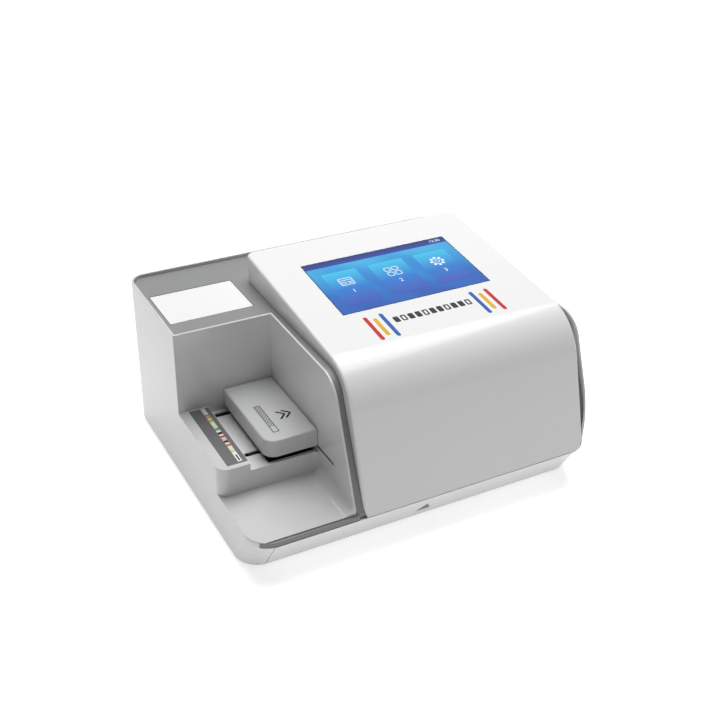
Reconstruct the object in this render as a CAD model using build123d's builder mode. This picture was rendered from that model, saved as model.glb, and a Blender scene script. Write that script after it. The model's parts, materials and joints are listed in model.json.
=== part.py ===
from build123d import *
import os
from math import cos, pi, radians, sin, tan

# Bench-top urine strip reader. Millimetres, +Z up, front towards -Y, origin under the middle of
# the body on the surface it stands on.

os.makedirs("parts", exist_ok=True)

# ---------------------------------------------------------------- driving sizes
# Casing
width = 340.0
depth = 296.0
foot_height = 3.0
wall = 2.2                   # moulded casing walls
gap = 0.3                    # seam between two mouldings
band_height = 35.8           # undercut front band
band_undercut = 23.4
front_corner_radius = 22.0
rear_corner_radius = 16.0
rim_height = 152.0           # thin rim round the deck
deck_drop = 3.0              # deck below the rim
left_seam = 19.0             # band seam, from the left face
right_seam = 22.5            # band seam, from the right face
rear_return = 20.0           # right shell's return along the rear

# Loading bay at the left
bay_width = 92.5
cheek_thickness = 2.0
tray_height = 41.7
tray_edge = 2.8              # front edge of the tray, behind the band's edge
tray_lip = 1.0
strip_start = 7.0            # left end of the dark strip under the tray
strip_depth = 6.0
riser = 71.7                 # platform front, from the front
platform_height = 70.6
step_width = 28.8
bed_height = 63.5
block_front = 169.4
platform_corner = 10.0
bay_fillet = 11.0
riser_fillet = 6.0
rim_foot = 1.0
rim_lean = 21.5
rim_knee_radius = 27.0
slit_low = 66.0
slit_height = 3.0
slit_front = 42.0

# Dark inner body and white cover
core_lean = 23.6
core_knee_drop = 1.0         # inner body's knee below the rim
core_knee_radius = 25.0
core_wall = 2.5
cover_left = 101.6
cover_width = 229.0
cover_lean = 16.0
cover_knee_rise = 6.5        # cover's knee above the inner body's
cover_knee_radius = 50.0
cover_rise = 5.3
cover_length = 247.0
cover_wall = 2.5
cover_edge_radius = 2.2
cover_rear_radius = 8.0
screen_width = 154.2
screen_length = 88.8
screen_front = 116.6         # front edge of the screen, from the front
glass_margin = 4.0
glass_thickness = 1.6
lcd_thickness = 5.5

# Loader
hood_left = 43.9
hood_front = 72.0
hood_bottom = 69.2
hood_height = 17.0
hood_corner = 11.0
hood_clearance = 0.4
slot_left = 32.6
front_slot = (91.4, 96.6)
back_slot = (160.0, 166.0)
bed_window_left = 47.0
bed_window_front = 75.6
bed_rim = 2.0
loader_travel = 14.0
leg_clearance = 0.5
rod_radius = 3.0
fit = 0.05                   # radial running clearance
bush_wall = 2.0

# Mechanism deck and drawer
plate_thickness = 2.0
base_thickness = 2.5
chassis_height = 37.5
chassis_left = 21.0
chassis_right = 319.0
chassis_front = 32.0
chassis_rear = 286.0
drawer_depth = 215.0
drawer_wall = 2.0
drawer_front_thickness = 3.0
drawer_height = 29.0
drawer_travel = 180.0
runner_clearance = 0.3
runner_wall = 1.5
runner_flange = 8.0

# Belts, pulleys and motors
pulley_radius = 6.0
pulley_width = 6.0
flange_radius = 8.0
belt_thickness = 1.0
belt_clearance = 0.3
shaft_radius = 2.5
motor_size = 28.0
motor_length = 24.0
motor_corner = 4.0

# Strip feed
feed_left = 110.0
feed_right = 172.0
feed_roller_radius = 7.0
feed_roller_width = 12.0
feed_lanes = (84.0, 128.0)
feed_bed_height = 66.0
feed_bed_front = 45.0
feed_bed_rear = 166.0
feed_plate_front = 60.0
feed_plate_rear = 148.0
feed_motor_face = 171.0

# Reading head
head_rods = (132.0, 168.0)
head_height = 100.0
head_front = 46.0
head_length = 40.0
head_travel = 95.0
head_bottom = 76.0
head_top = 109.0
head_bracket_front = 37.0
head_bracket_rear = 198.0

# Printer
door_left = 7.1
door_width = 79.9
door_front = 195.4
door_length = 56.1
door_thickness = 1.8
door_reveal = 0.5
door_rear_reveal = 1.1
hinge_set = 10.0             # hinge axis ahead of the door's rear edge
hinge_drop = 4.0
hinge_pin_radius = 1.5
platen_set = 7.0
platen_drop = 7.4
platen_radius = 4.5
platen_shaft_radius = 2.0
gear_module = 0.6
platen_teeth = 14
idler_teeth = 22
pinion_teeth = 12
gear_width = 2.5
roll_radius = 18.5
roll_width = 57.0
roll_set = 222.0
roll_drop = 35.0             # roll's axis below the deck
printer_wall = 1.6
printer_left = 8.0
printer_right = 81.6
roll_core_radius = 8.0
printer_motor_radius = 7.0
printer_motor_length = 16.0

# Small parts
screw_radius = 1.5
screw_head_radius = 2.8
screw_head_height = 1.8
boss_radius = 4.0
base_boss_radius = 5.0
base_boss_inset = 6.5
base_boss_front = 66.0
base_boss_rear = 50.0
base_boss_height = 20.0
panel_screw_inset = 8.0
panel_screw_low = 12.0
panel_screw_drop = 14.0
tab_width = 12.0
tab_depth = 6.0

# Rear panel and main board, measured from the left face and the front
inlet_set = 118.0
switch_set = 146.0
usb_set = 214.0
lan_set = 240.0
serial_set = 275.0
louvre_left = 190.0
louvre_length = 100.0
chute_left = 187.0
chute_width = 35.0
board_left = 205.0
board_length = 103.0
board_front = 196.0
board_thickness = 1.6
chips = ((22.0, 24.0, 16.0), (52.0, 30.0, 12.0), (76.0, 22.0, 9.0), (30.0, 52.0, 8.0),
         (58.0, 54.0, 10.0))     # x and y from the board's corner, and size
buzzer_at = (84.0, 50.0)
buzzer_radius = 8.0
buzzer_height = 3.2

# ---------------------------------------------------------------- places worked out
deck_height = rim_height - deck_drop
core_knee_height = rim_height - core_knee_drop
cover_knee_height = core_knee_height + cover_knee_rise
left, right = -width / 2, width / 2
front, rear = -depth / 2, depth / 2
bottom = foot_height
band_top = bottom + band_height
rim_top = bottom + rim_height
deck_top = bottom + deck_height
deck_under = deck_top - core_wall
tray_top = bottom + tray_height
platform_top = bottom + platform_height
bed_top = bottom + bed_height
riser_y = front + riser
block_y = front + block_front
cheek_inner = left + bay_width
cheek_outer = cheek_inner + cheek_thickness
step_x = left + step_width
seam_left = left + left_seam
seam_right = right - right_seam
panel_left = cheek_outer + gap
panel_right = right - rear_return - gap
cover_x = (left + cover_left, left + cover_left + cover_width)
cover_rear_y = front + cover_length
chassis_top = bottom + chassis_height
chassis_under = chassis_top - plate_thickness
base_top = bottom + base_thickness
base_screws_at = [(x, y) for x in (left + base_boss_inset, right - base_boss_inset)
                  for y in (front + base_boss_front, rear - base_boss_rear)]
panel_screws_at = [(x, z) for x in (panel_left + panel_screw_inset, panel_right - panel_screw_inset)
                   for z in (bottom + panel_screw_low, rim_top - panel_screw_drop)]


# ---------------------------------------------------------------- helpers
def block(x_span, y_span, z_span, mode=Mode.ADD):
    """A rectangular block between two corners."""
    spans = (x_span, y_span, z_span)
    with Locations(tuple((low + high) / 2 for low, high in spans)):
        Box(*(high - low for low, high in spans), mode=mode)


def round_bar(start, direction, radius, length, mode=Mode.ADD):
    """A round bar from a start point along a direction."""
    with BuildSketch(Plane(origin=start, z_dir=direction)) as section:
        Circle(radius)
    extrude(section.sketch, amount=length, mode=mode)


def tube(start, direction, radius, bore, length):
    """A round tube from a start point along a direction."""
    with BuildSketch(Plane(origin=start, z_dir=direction)) as section:
        Circle(radius)
        Circle(bore, mode=Mode.SUBTRACT)
    extrude(section.sketch, amount=length)


def corner_web(plane, corner, x_side, y_side, radius, length, mode=Mode.ADD):
    """The prism between a square corner and the arc that blends its two sides."""
    with BuildSketch(plane) as web:
        with Locations((corner[0] + x_side * radius / 2, corner[1] + y_side * radius / 2)):
            Rectangle(radius, radius)
        with Locations((corner[0] + x_side * radius, corner[1] + y_side * radius)):
            Circle(radius, mode=Mode.SUBTRACT)
    extrude(web.sketch, amount=length, mode=mode)


def side_profile(points, x_low, x_high, corner=None, radius=0.0, mode=Mode.ADD):
    """Extrudes a (y, z) outline across X, with one corner of it rounded."""
    with BuildSketch(Plane.YZ.offset(x_low)) as section:
        with BuildLine():
            Polyline(*points, close=True)
        make_face()
        if corner is not None:
            fillet(section.vertices().sort_by_distance(Vector(*corner))[0], radius)
    extrude(section.sketch, amount=x_high - x_low, mode=mode)


def outline(level, front_y, inset):
    """Plan outline of the body at one height, with rounded corners."""
    with BuildSketch(Plane.XY.offset(level)) as plan:
        with Locations((0, (front_y + rear) / 2)):
            Rectangle(width - 2 * inset, rear - front_y - 2 * inset)
        fillet(plan.vertices().group_by(Axis.Y)[0], front_corner_radius - inset)
        fillet(plan.vertices().group_by(Axis.Y)[-1], rear_corner_radius - inset)
    return plan.sketch


def envelope(inset):
    """The whole body: undercut band, then straight sides up to the rim."""
    with BuildPart() as body:
        foot = outline(bottom, front + band_undercut, inset)
        edge = outline(band_top, front, inset)
        loft([foot.face(), edge.face()], ruled=True)
        extrude(edge, amount=rim_top - band_top)
    return body.part


def column(inset):
    """The plan outline as one straight column, taller than the body."""
    with BuildPart() as body:
        extrude(outline(bottom, front, inset), amount=2 * rim_height)
    return body.part


def rim_space(x_low, x_high, mode):
    """The space in front of and above the leaning rim of the cheek and the right shell."""
    foot_y = front + rim_foot
    knee_y = foot_y + (rim_top - tray_top) * tan(radians(rim_lean))
    points = [(front - rim_height, tray_top), (foot_y, tray_top), (knee_y, rim_top),
              (rear, rim_top), (rear, 2 * rim_top), (front - rim_height, 2 * rim_top)]
    side_profile(points, x_low, x_high, (knee_y, rim_top), rim_knee_radius, mode)


def core_section(inset, x_low, x_high, reach, mode=Mode.ADD):
    """The inner body's side section, moved in by an inset, open by a reach at foot and rear."""
    lean = radians(core_lean)
    shift = front + inset / cos(lean)
    foot_z = band_top + gap - reach
    knee_z = bottom + core_knee_height - inset
    rear_y = rear - wall - gap + reach
    knee = (shift + (knee_z - band_top) * tan(lean), knee_z)
    points = [(shift + (foot_z - band_top) * tan(lean), foot_z), knee,
              (block_y + wall, deck_top - inset), (rear_y, deck_top - inset), (rear_y, foot_z)]
    side_profile(points, x_low, x_high, knee, core_knee_radius - inset, mode)


def core_top(y):
    """Height of the inner body's top face at one place, behind its knee."""
    knee_z = bottom + core_knee_height
    knee_y = front + (knee_z - band_top) * tan(radians(core_lean))
    share = min(1.0, (y - knee_y) / (block_y + wall - knee_y))
    return knee_z + share * (deck_top - knee_z)


def cover_section(inset, x_low, x_high, reach):
    """The cover's side section, moved in by an inset, open by a reach underneath."""
    lean, rise = radians(cover_lean), radians(cover_rise)
    knee_y = front + (cover_knee_height - band_height) * tan(lean)
    knee_z = bottom + cover_knee_height
    shift = inset / cos(lean)
    drop = inset / cos(rise)
    turn = (tan(lean) * (knee_z - band_top) + shift - (knee_y - front)
            - drop * tan(lean)) / (1 - tan(lean) * tan(rise))
    knee = (knee_y + turn, knee_z + turn * tan(rise) - drop)
    rear_y = cover_rear_y - inset
    rear_top = knee_z + (rear_y - knee_y) * tan(rise) - drop
    foot_z = band_top + gap - reach
    points = [(front + shift + (foot_z - band_top) * tan(lean), foot_z), knee,
              (rear_y, rear_top)]
    if reach:
        points += [(rear_y, foot_z)]
    else:
        points += [(rear_y, deck_top + gap), (rear_y - 2 * cover_wall, deck_top + gap)]
    side_profile(points, x_low, x_high, knee, cover_knee_radius - inset)


def cover_plane(distance):
    """The plane of the cover's sloping top, above or below it by a distance."""
    rise = radians(cover_rise)
    knee_y = front + (cover_knee_height - band_height) * tan(radians(cover_lean))
    y = front + screen_front
    z = bottom + cover_knee_height + (y - knee_y) * tan(rise)
    normal = (0, -sin(rise), cos(rise))
    origin = Vector(sum(cover_x) / 2, y, z) + Vector(*normal) * distance
    return Plane(origin=origin, x_dir=(1, 0, 0), z_dir=normal)


def pulley(centre, direction, radius, bore, pulley_length):
    """A flanged belt pulley, centred on a point of its axis."""
    axis = Vector(*direction)
    start = Vector(*centre) - axis * (pulley_length / 2)
    flange = 1.0
    tube(start, direction, flange_radius, bore, flange)
    tube(start + axis * flange, direction, radius, bore, pulley_length - 2 * flange)
    tube(start + axis * (pulley_length - flange), direction, flange_radius, bore, flange)


def belt_loop(plane, run, radius, belt_width):
    """A flat belt round two equal pulleys, its loop drawn in a plane about the middle."""
    with BuildSketch(plane) as loop:
        SlotCenterToCenter(run, 2 * (radius + belt_clearance + belt_thickness))
        SlotCenterToCenter(run, 2 * (radius + belt_clearance), mode=Mode.SUBTRACT)
    extrude(loop.sketch, amount=belt_width / 2, both=True)


def gear(plane, teeth, bore, turn_degrees):
    """A small spur gear with straight-sided teeth and backlash; one tooth lies on the turn."""
    pitch = gear_module * teeth / 2
    root, tip = pitch - 1.15 * gear_module, pitch + 0.8 * gear_module
    step = 2 * pi / teeth
    turn = radians(turn_degrees)
    with BuildSketch(plane) as wheel:
        Circle(root)
        for tooth in range(teeth):
            middle = turn + tooth * step
            flank = [(root - 0.2, 0.30), (pitch, 0.22), (tip, 0.11)]
            edge = [(r, middle - share * step) for r, share in flank]
            edge += [(r, middle + share * step) for r, share in reversed(flank)]
            with BuildLine():
                Polyline(*[(r * cos(a), r * sin(a)) for r, a in edge], close=True)
            make_face()
        Circle(bore, mode=Mode.SUBTRACT)
    extrude(wheel.sketch, amount=gear_width)


def motor_body(face, direction, shaft_hole):
    """A square stepper motor behind its face, with a bore for the shaft."""
    with BuildSketch(Plane(origin=face, x_dir=(0, 0, 1), z_dir=direction)) as section:
        Rectangle(motor_size, motor_size)
        chamfer(section.vertices(), motor_corner)
    extrude(section.sketch, amount=motor_length)
    round_bar(face, direction, shaft_hole, motor_length / 2, Mode.SUBTRACT)


# ---------------------------------------------------------------- casing
# Light grey left shell: side wall, tray, platform, rear block and the leaning cheek.
with BuildPart() as bay_hollow:
    block((left, cheek_outer + 1), (front, riser_y + wall), (bottom, tray_top - wall))
    block((left, cheek_outer + 1), (riser_y + wall, block_y + wall), (bottom, bed_top - wall))
    block((left, step_x - wall), (riser_y + wall, block_y + wall),
          (bed_top - wall, platform_top - wall))
    block((left, cheek_outer + 1), (block_y + wall, rear), (bottom, rim_top))
    corner_web(Plane.XY.offset(tray_top - wall), (left + wall, riser_y + wall), 1, 1,
               platform_corner - wall, platform_height - tray_height, Mode.SUBTRACT)
    add(envelope(wall), mode=Mode.INTERSECT)

with BuildPart() as left_shell:
    add(envelope(0))
    block((left, cheek_outer), (front, rear), (bottom, rim_top), Mode.INTERSECT)
    block((left, cheek_inner), (front, riser_y), (tray_top, rim_top), Mode.SUBTRACT)
    block((left, cheek_inner), (riser_y, block_y), (platform_top, rim_top), Mode.SUBTRACT)
    block((step_x, cheek_inner), (riser_y, block_y), (bed_top, platform_top), Mode.SUBTRACT)
    corner_web(Plane.XY.offset(tray_top), (left, riser_y), 1, 1, platform_corner,
               platform_height - tray_height, Mode.SUBTRACT)
    corner_web(Plane.XZ.offset(-riser_y), (cheek_inner, tray_top), -1, 1, bay_fillet, riser)
    corner_web(Plane.XY.offset(tray_top), (cheek_inner, riser_y), -1, -1, riser_fillet,
               bed_height - tray_height)
    block((left, cheek_outer), (front, front + tray_edge), (tray_top - tray_lip, rim_top),
          Mode.SUBTRACT)
    rim_space(cheek_inner - bay_fillet, cheek_outer, Mode.SUBTRACT)
    add(bay_hollow.part, mode=Mode.SUBTRACT)
    # the band between the seams is the drawer's front
    block((seam_left, cheek_outer), (front, front + band_undercut + 2 * wall),
          (bottom, band_top), Mode.SUBTRACT)
    # groove for the dark strip, under a thin lip
    block((left + strip_start, cheek_outer), (front, front + strip_depth),
          (band_top, tray_top - tray_lip), Mode.SUBTRACT)
    # slots for the loader's legs, the window under the hood and the slit through the cheek
    bed_through = (bed_top - wall, bed_top)
    window_right = cheek_inner - bed_rim
    for slot in (front_slot, back_slot):
        block((left + slot_left, window_right), (front + slot[0], front + slot[1]), bed_through,
              Mode.SUBTRACT)
    block((left + bed_window_left, window_right), (front + bed_window_front, front + back_slot[1]),
          bed_through, Mode.SUBTRACT)
    block((cheek_inner, cheek_outer), (front + slit_front, block_y),
          (bottom + slit_low, bottom + slit_low + slit_height), Mode.SUBTRACT)
    # bosses for the base screws
    for x, y in base_screws_at[:2]:
        round_bar((x, y, base_top), (0, 0, 1), base_boss_radius, base_boss_height)
        round_bar((x, y, base_top), (0, 0, 1), screw_radius, base_boss_height, Mode.SUBTRACT)
left_shell.part.label = "left_shell"
export_step(left_shell.part, "parts/left_shell.step")

# Light grey right shell: side wall with the same leaning rim, front corner and rear return.
with BuildPart() as right_shell:
    add(envelope(0))
    add(envelope(wall), mode=Mode.SUBTRACT)
    block((seam_right, right), (front, rear), (bottom, rim_top), Mode.INTERSECT)
    rim_space(seam_right, right, Mode.SUBTRACT)
    block((seam_right, cover_x[1] + gap), (front, rear - rear_corner_radius),
          (band_top, rim_top), Mode.SUBTRACT)
    block((seam_right, panel_right + gap), (rear - rear_corner_radius, rear), (bottom, rim_top),
          Mode.SUBTRACT)
    # bosses for the base screws
    for x, y in base_screws_at[2:]:
        round_bar((x, y, base_top), (0, 0, 1), base_boss_radius, base_boss_height)
        round_bar((x, y, base_top), (0, 0, 1), screw_radius, base_boss_height, Mode.SUBTRACT)
right_shell.part.label = "right_shell"
export_step(right_shell.part, "parts/right_shell.step")

# Dark grey inner body: channels beside the cover, deck over the rear, strip under the tray.
door_x = (left + door_left, left + door_left + door_width)
door_y = (front + door_front, front + door_front + door_length)
core_left = cheek_outer + gap
window_x = (cover_x[0] + cover_wall - gap, cover_x[1] - cover_wall + gap)
core_window_height = 24.0
cable_slot = (60.0, 24.0)
cover_boss_x = (cover_x[0] + 18.0, cover_x[1] - 18.0)
cover_boss_y = (front + 92.0, cover_rear_y - 14.0)
with BuildPart() as core_body:
    core_section(0, core_left, right - wall - gap, 0)
    core_section(core_wall, core_left, right, core_window_height, Mode.SUBTRACT)
    block((left, core_left), (block_y + wall + gap, rear - wall - gap), (deck_under, deck_top))
    block((left + strip_start + gap, core_left + wall), (front + gap, front + strip_depth - gap),
          (band_top + gap, tray_top - tray_lip - gap))
    add(column(wall + gap), mode=Mode.INTERSECT)
    # the front strip follows the body's outer corner
    with BuildPart(mode=Mode.PRIVATE) as strip:
        add(column(gap))
        block((left + strip_start + gap, core_left + wall), (front, front + strip_depth - gap),
              (band_top + gap, tray_top - tray_lip - gap), Mode.INTERSECT)
    add(strip.part)
    # open behind the foot of the cover's front wall
    block(window_x, (front, front + core_window_height), (band_top, band_top + core_window_height),
          Mode.SUBTRACT)
    # paper door opening, display cable slot and cover screw holes
    block((door_x[0] - door_reveal, door_x[1] + door_reveal),
          (door_y[0] - door_reveal, door_y[1] + door_rear_reveal), (deck_under, deck_top),
          Mode.SUBTRACT)
    block((-cable_slot[0] / 2 + sum(cover_x) / 2, cable_slot[0] / 2 + sum(cover_x) / 2),
          (front + screen_front, front + screen_front + cable_slot[1]),
          (deck_under - core_wall, bottom + core_knee_height), Mode.SUBTRACT)
    for x in cover_boss_x:
        for y in cover_boss_y:
            round_bar((x, y, bottom), (0, 0, 1), screw_radius + gap, rim_height, Mode.SUBTRACT)
    # tabs for the rear panel's upper screws
    for x, z in panel_screws_at[1::2]:
        block((x - tab_width / 2, x + tab_width / 2),
              (rear - wall - gap - tab_depth, rear - wall - gap), (z - tab_width / 2, deck_top))
        round_bar((x, rear - wall - gap, z), (0, -1, 0), screw_radius, tab_depth, Mode.SUBTRACT)
core_body.part.label = "core_body"
export_step(core_body.part, "parts/core_body.step")

# White cover with the screen window.
screen_plane = cover_plane(0)
with BuildPart() as cover_hollow:
    cover_section(cover_wall, cover_x[0] + cover_wall, cover_x[1] - cover_wall, wall + gap)
    add(column(cover_wall), mode=Mode.INTERSECT)



def soft_edge(edge, high):
    """True for an edge of the front wall, the knee or the sloping top that gets a radius."""
    middle = edge.center()
    box = edge.bounding_box()
    on_flank = box.size.X < gap and min(abs(middle.X - x) for x in cover_x) < gap
    rises = edge.geom_type == GeomType.CIRCLE or middle.Z > rim_top + wall
    front_wall = edge.length > cover_knee_height / 2 and middle.Y < front + band_undercut + wall
    ahead = middle.Y < cover_rear_y - cover_rear_radius - gap
    return (on_flank and ahead and (rises or front_wall)) or middle.Z > high - wall / 2


with BuildPart() as top_cover:
    cover_section(0, cover_x[0], cover_x[1], 0)
    rear_edges = top_cover.edges().filter_by(Axis.Z).group_by(Axis.Y)[-1]
    fillet(rear_edges, cover_rear_radius)
    add(column(0), mode=Mode.INTERSECT)
    # soft edges up both flanks, over the knee and round the rear of the sloping top
    high = top_cover.part.bounding_box().max.Z
    flank_edges = [edge for edge in top_cover.edges() if soft_edge(edge, high)]
    fillet(flank_edges, cover_edge_radius)
    add(cover_hollow.part, mode=Mode.SUBTRACT)
    for x_low, x_high in ((cover_x[0], cover_x[0] + cover_wall),
                          (cover_x[1] - cover_wall, cover_x[1])):
        core_section(-gap, x_low, x_high, gap, Mode.SUBTRACT)
    # posts for the cover screws, down to the inner body
    for x in cover_boss_x:
        for y in cover_boss_y:
            with BuildPart(mode=Mode.PRIVATE) as post:
                cover_section(cover_wall / 2, x - boss_radius, x + boss_radius, 0)
                with BuildPart(mode=Mode.PRIVATE) as stem:
                    round_bar((x, y, band_top), (0, 0, 1), boss_radius, 2 * rim_height)
                add(stem.part, mode=Mode.INTERSECT)
                core_section(-gap, left, right, gap, Mode.SUBTRACT)
            add(post.part)
            round_bar((x, y, bottom), (0, 0, 1), screw_radius, core_knee_height + 8.0,
                      Mode.SUBTRACT)
    with BuildSketch(screen_plane) as window:
        with Locations((0, screen_length / 2)):
            Rectangle(screen_width, screen_length)
    extrude(window.sketch, amount=-2 * cover_wall, mode=Mode.SUBTRACT)
    extrude(window.sketch, amount=cover_wall, mode=Mode.SUBTRACT)
top_cover.part.label = "top_cover"
export_step(top_cover.part, "parts/top_cover.step")

# ---------------------------------------------------------------- screen
lcd_margin = 2.5
with BuildPart() as touch_glass:
    # the glass sits under the cover, with a raised face that fills the window
    with BuildSketch(cover_plane(-cover_wall - gap)) as pane:
        with Locations((0, screen_length / 2)):
            Rectangle(screen_width + 2 * glass_margin, screen_length + 2 * glass_margin)
    extrude(pane.sketch, amount=-glass_thickness)
    with BuildSketch(cover_plane(-cover_wall - gap)) as face:
        with Locations((0, screen_length / 2)):
            Rectangle(screen_width - 2 * gap, screen_length - 2 * gap)
    extrude(face.sketch, amount=cover_wall)
touch_glass.part.label = "touch_glass"
export_step(touch_glass.part, "parts/touch_glass.step")

lcd_top = -cover_wall - gap - glass_thickness
with BuildPart() as lcd_panel:
    with BuildSketch(cover_plane(lcd_top)) as panel:
        with Locations((0, screen_length / 2)):
            Rectangle(screen_width + 2 * lcd_margin, screen_length + 2 * lcd_margin)
    extrude(panel.sketch, amount=-lcd_thickness)
lcd_panel.part.label = "lcd_panel"
export_step(lcd_panel.part, "parts/lcd_panel.step")

# Folded bracket: a rib under each end of the panel, standing on the inner body.
bracket_thickness = 1.5
bracket_rib = 6.0
screen_centre_x = sum(cover_x) / 2
bracket_x = screen_width / 2 + lcd_margin
with BuildPart() as screen_bracket:
    with BuildSketch(cover_plane(lcd_top - lcd_thickness)) as shelf:
        with Locations((0, screen_length / 2)):
            Rectangle(2 * bracket_x, screen_length + 2 * lcd_margin)
            Rectangle(2 * bracket_x - 8 * bracket_rib, screen_length / 2, mode=Mode.SUBTRACT)
    extrude(shelf.sketch, amount=-bracket_thickness)
    for side in (-1, 1):
        edge_x = screen_centre_x + side * (bracket_x - bracket_rib / 2)
        with BuildPart(mode=Mode.PRIVATE) as rib:
            block((edge_x - bracket_rib / 2, edge_x + bracket_rib / 2),
                  (front + screen_front, front + screen_front + screen_length),
                  (deck_top, bottom + rim_height + cover_wall * 10))
            with BuildPart(mode=Mode.PRIVATE) as above:
                with BuildSketch(cover_plane(lcd_top - lcd_thickness)) as lid:
                    Rectangle(4 * screen_width, 4 * screen_width)
                extrude(lid.sketch, amount=rim_height)
            add(above.part, mode=Mode.SUBTRACT)
            core_section(0, left, right, 0, Mode.SUBTRACT)
        add(rib.part)
screen_bracket.part.label = "screen_bracket"
export_step(screen_bracket.part, "parts/screen_bracket.step")

# ---------------------------------------------------------------- base, feet and rear panel
foot_radius = 9.0
foot_inset = 24.0
foot_front = band_undercut + 20.0
foot_recess = 1.0
feet_at = [(x, y) for x in (left + foot_inset, right - foot_inset)
           for y in (front + foot_front, rear - foot_inset)]
base_front = front + band_undercut + 2 * drawer_front_thickness
with BuildPart() as base_plate:
    add(envelope(wall + gap))
    block((left, right), (base_front, rear), (bottom, base_top), Mode.INTERSECT)
    for x, y in feet_at:
        round_bar((x, y, bottom), (0, 0, 1), foot_radius + gap, foot_recess, Mode.SUBTRACT)
    for x, y in base_screws_at:
        round_bar((x, y, bottom), (0, 0, 1), screw_radius + fit, base_thickness, Mode.SUBTRACT)
    # upstands for the rear panel's lower screws
    for x, z in panel_screws_at[::2]:
        block((x - tab_width / 2, x + tab_width / 2),
              (rear - wall - gap - tab_depth, rear - wall - gap), (bottom, z + tab_width / 2))
        round_bar((x, rear - wall - gap, z), (0, -1, 0), screw_radius, tab_depth, Mode.SUBTRACT)
base_plate.part.label = "base_plate"
export_step(base_plate.part, "parts/base_plate.step")

with BuildPart() as rubber_feet:
    for x, y in feet_at:
        round_bar((x, y, 0), (0, 0, 1), foot_radius, foot_height + foot_recess)
        chamfer(rubber_feet.edges().filter_by(GeomType.CIRCLE).group_by(Axis.Z)[0]
                .sort_by_distance((x, y, 0))[0], 0.6)
rubber_feet.part.label = "rubber_feet"
export_step(rubber_feet.part, "parts/rubber_feet.step")

# Rear panel with cutouts for the sockets, the switch and the vent louvres.
panel_z = (bottom, rim_top)
socket_z = chassis_top + 9.6
board_low = chassis_top + 3.0
board_top = board_low + board_thickness
inlet_x, inlet_size = left + inlet_set, (14.0, 11.0)
switch_x, switch_size = left + switch_set, (21.0, 15.0)
usb_x, usb_size = left + usb_set, (14.0, 15.6)
lan_x, lan_size = left + lan_set, (16.0, 13.6)
serial_x, serial_size = left + serial_set, (31.0, 12.6)
cut_clearance = 0.3
louvre_count = 9
louvre_pitch = 7.0
louvre_height = 2.6
louvre_span = (left + louvre_left, left + louvre_left + louvre_length)
louvre_low = bottom + 72.0
sockets = [(x, socket_z, size) for x, size in ((inlet_x, inlet_size), (switch_x, switch_size))]
sockets += [(x, board_top + size[1] / 2, size)
            for x, size in ((usb_x, usb_size), (lan_x, lan_size), (serial_x, serial_size))]
with BuildPart() as rear_panel:
    block((panel_left, panel_right), (rear - wall, rear), panel_z)
    for x, z, size in sockets:
        block((x - size[0] / 2 - cut_clearance, x + size[0] / 2 + cut_clearance),
              (rear - wall, rear),
              (z - size[1] / 2 - cut_clearance, z + size[1] / 2 + cut_clearance), Mode.SUBTRACT)
    for row in range(louvre_count):
        level = louvre_low + row * louvre_pitch
        block(louvre_span, (rear - wall, rear), (level, level + louvre_height), Mode.SUBTRACT)
    for x, z in panel_screws_at:
        round_bar((x, rear, z), (0, -1, 0), screw_radius + fit, wall, Mode.SUBTRACT)
        round_bar((x, rear, z), (0, -1, 0), screw_head_radius + fit, wall / 2, Mode.SUBTRACT)
rear_panel.part.label = "rear_panel"
export_step(rear_panel.part, "parts/rear_panel.step")

# ---------------------------------------------------------------- mechanism chassis
chassis_x = (left + chassis_left, left + chassis_right)
chassis_y = (front + chassis_front, front + chassis_rear)
chute_x = (left + chute_left, left + chute_left + chute_width)
chute_y = (front + feed_bed_front, front + feed_bed_rear)
with BuildPart() as chassis:
    block(chassis_x, chassis_y, (chassis_under, chassis_top))
    for x_low in (chassis_x[0], chassis_x[1] - plate_thickness):
        block((x_low, x_low + plate_thickness), chassis_y, (base_top, chassis_under))
    block(chute_x, chute_y, (chassis_under, chassis_top), Mode.SUBTRACT)
chassis.part.label = "chassis"
export_step(chassis.part, "parts/chassis.step")

# Chute that guides used strips down into the drawer.
chute_wall = 1.5
chute_top = chassis_top + 22.0
with BuildPart() as strip_chute:
    block((chute_x[0] + gap, chute_x[1] - gap), (chute_y[0] + gap, chute_y[1] - gap),
          (chassis_under - 0.5, chute_top))
    block((chute_x[0] + gap + chute_wall, chute_x[1] - gap - chute_wall),
          (chute_y[0] + gap + chute_wall, chute_y[1] - gap - chute_wall),
          (chassis_under - 0.5, chute_top), Mode.SUBTRACT)
    for x_span in ((chute_x[0] - 4.0, chute_x[0] + gap + chute_wall),
                   (chute_x[1] - gap - chute_wall, chute_x[1] + 4.0)):
        block(x_span, (chute_y[0] + 10.0, chute_y[1] - 10.0),
              (chassis_top, chassis_top + chute_wall))
strip_chute.part.label = "strip_chute"
export_step(strip_chute.part, "parts/strip_chute.step")

# ---------------------------------------------------------------- waste drawer
front_slope = band_undercut / band_height
panel_depth = drawer_front_thickness * (1 + front_slope ** 2) ** 0.5
panel_low, panel_high = bottom + gap, band_top - gap
drawer_x = (chassis_x[0] + plate_thickness + runner_wall + runner_clearance,
            chassis_x[1] - plate_thickness - runner_wall - runner_clearance)
drawer_y = (front + band_undercut + panel_depth + 1.0,
            front + band_undercut + panel_depth + 1.0 + drawer_depth)
drawer_low = base_top + runner_wall + runner_clearance
drawer_z = (drawer_low, drawer_low + drawer_height)
striker_width = 4.0
striker_length = 7.0
rib_thickness = 4.0
rib_x = (left + 60.0, 0.0, right - 60.0)


def band_y(level, shift):
    """The band's face at one height, moved back by a shift."""
    return front + (band_top - level) * front_slope + shift


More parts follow.
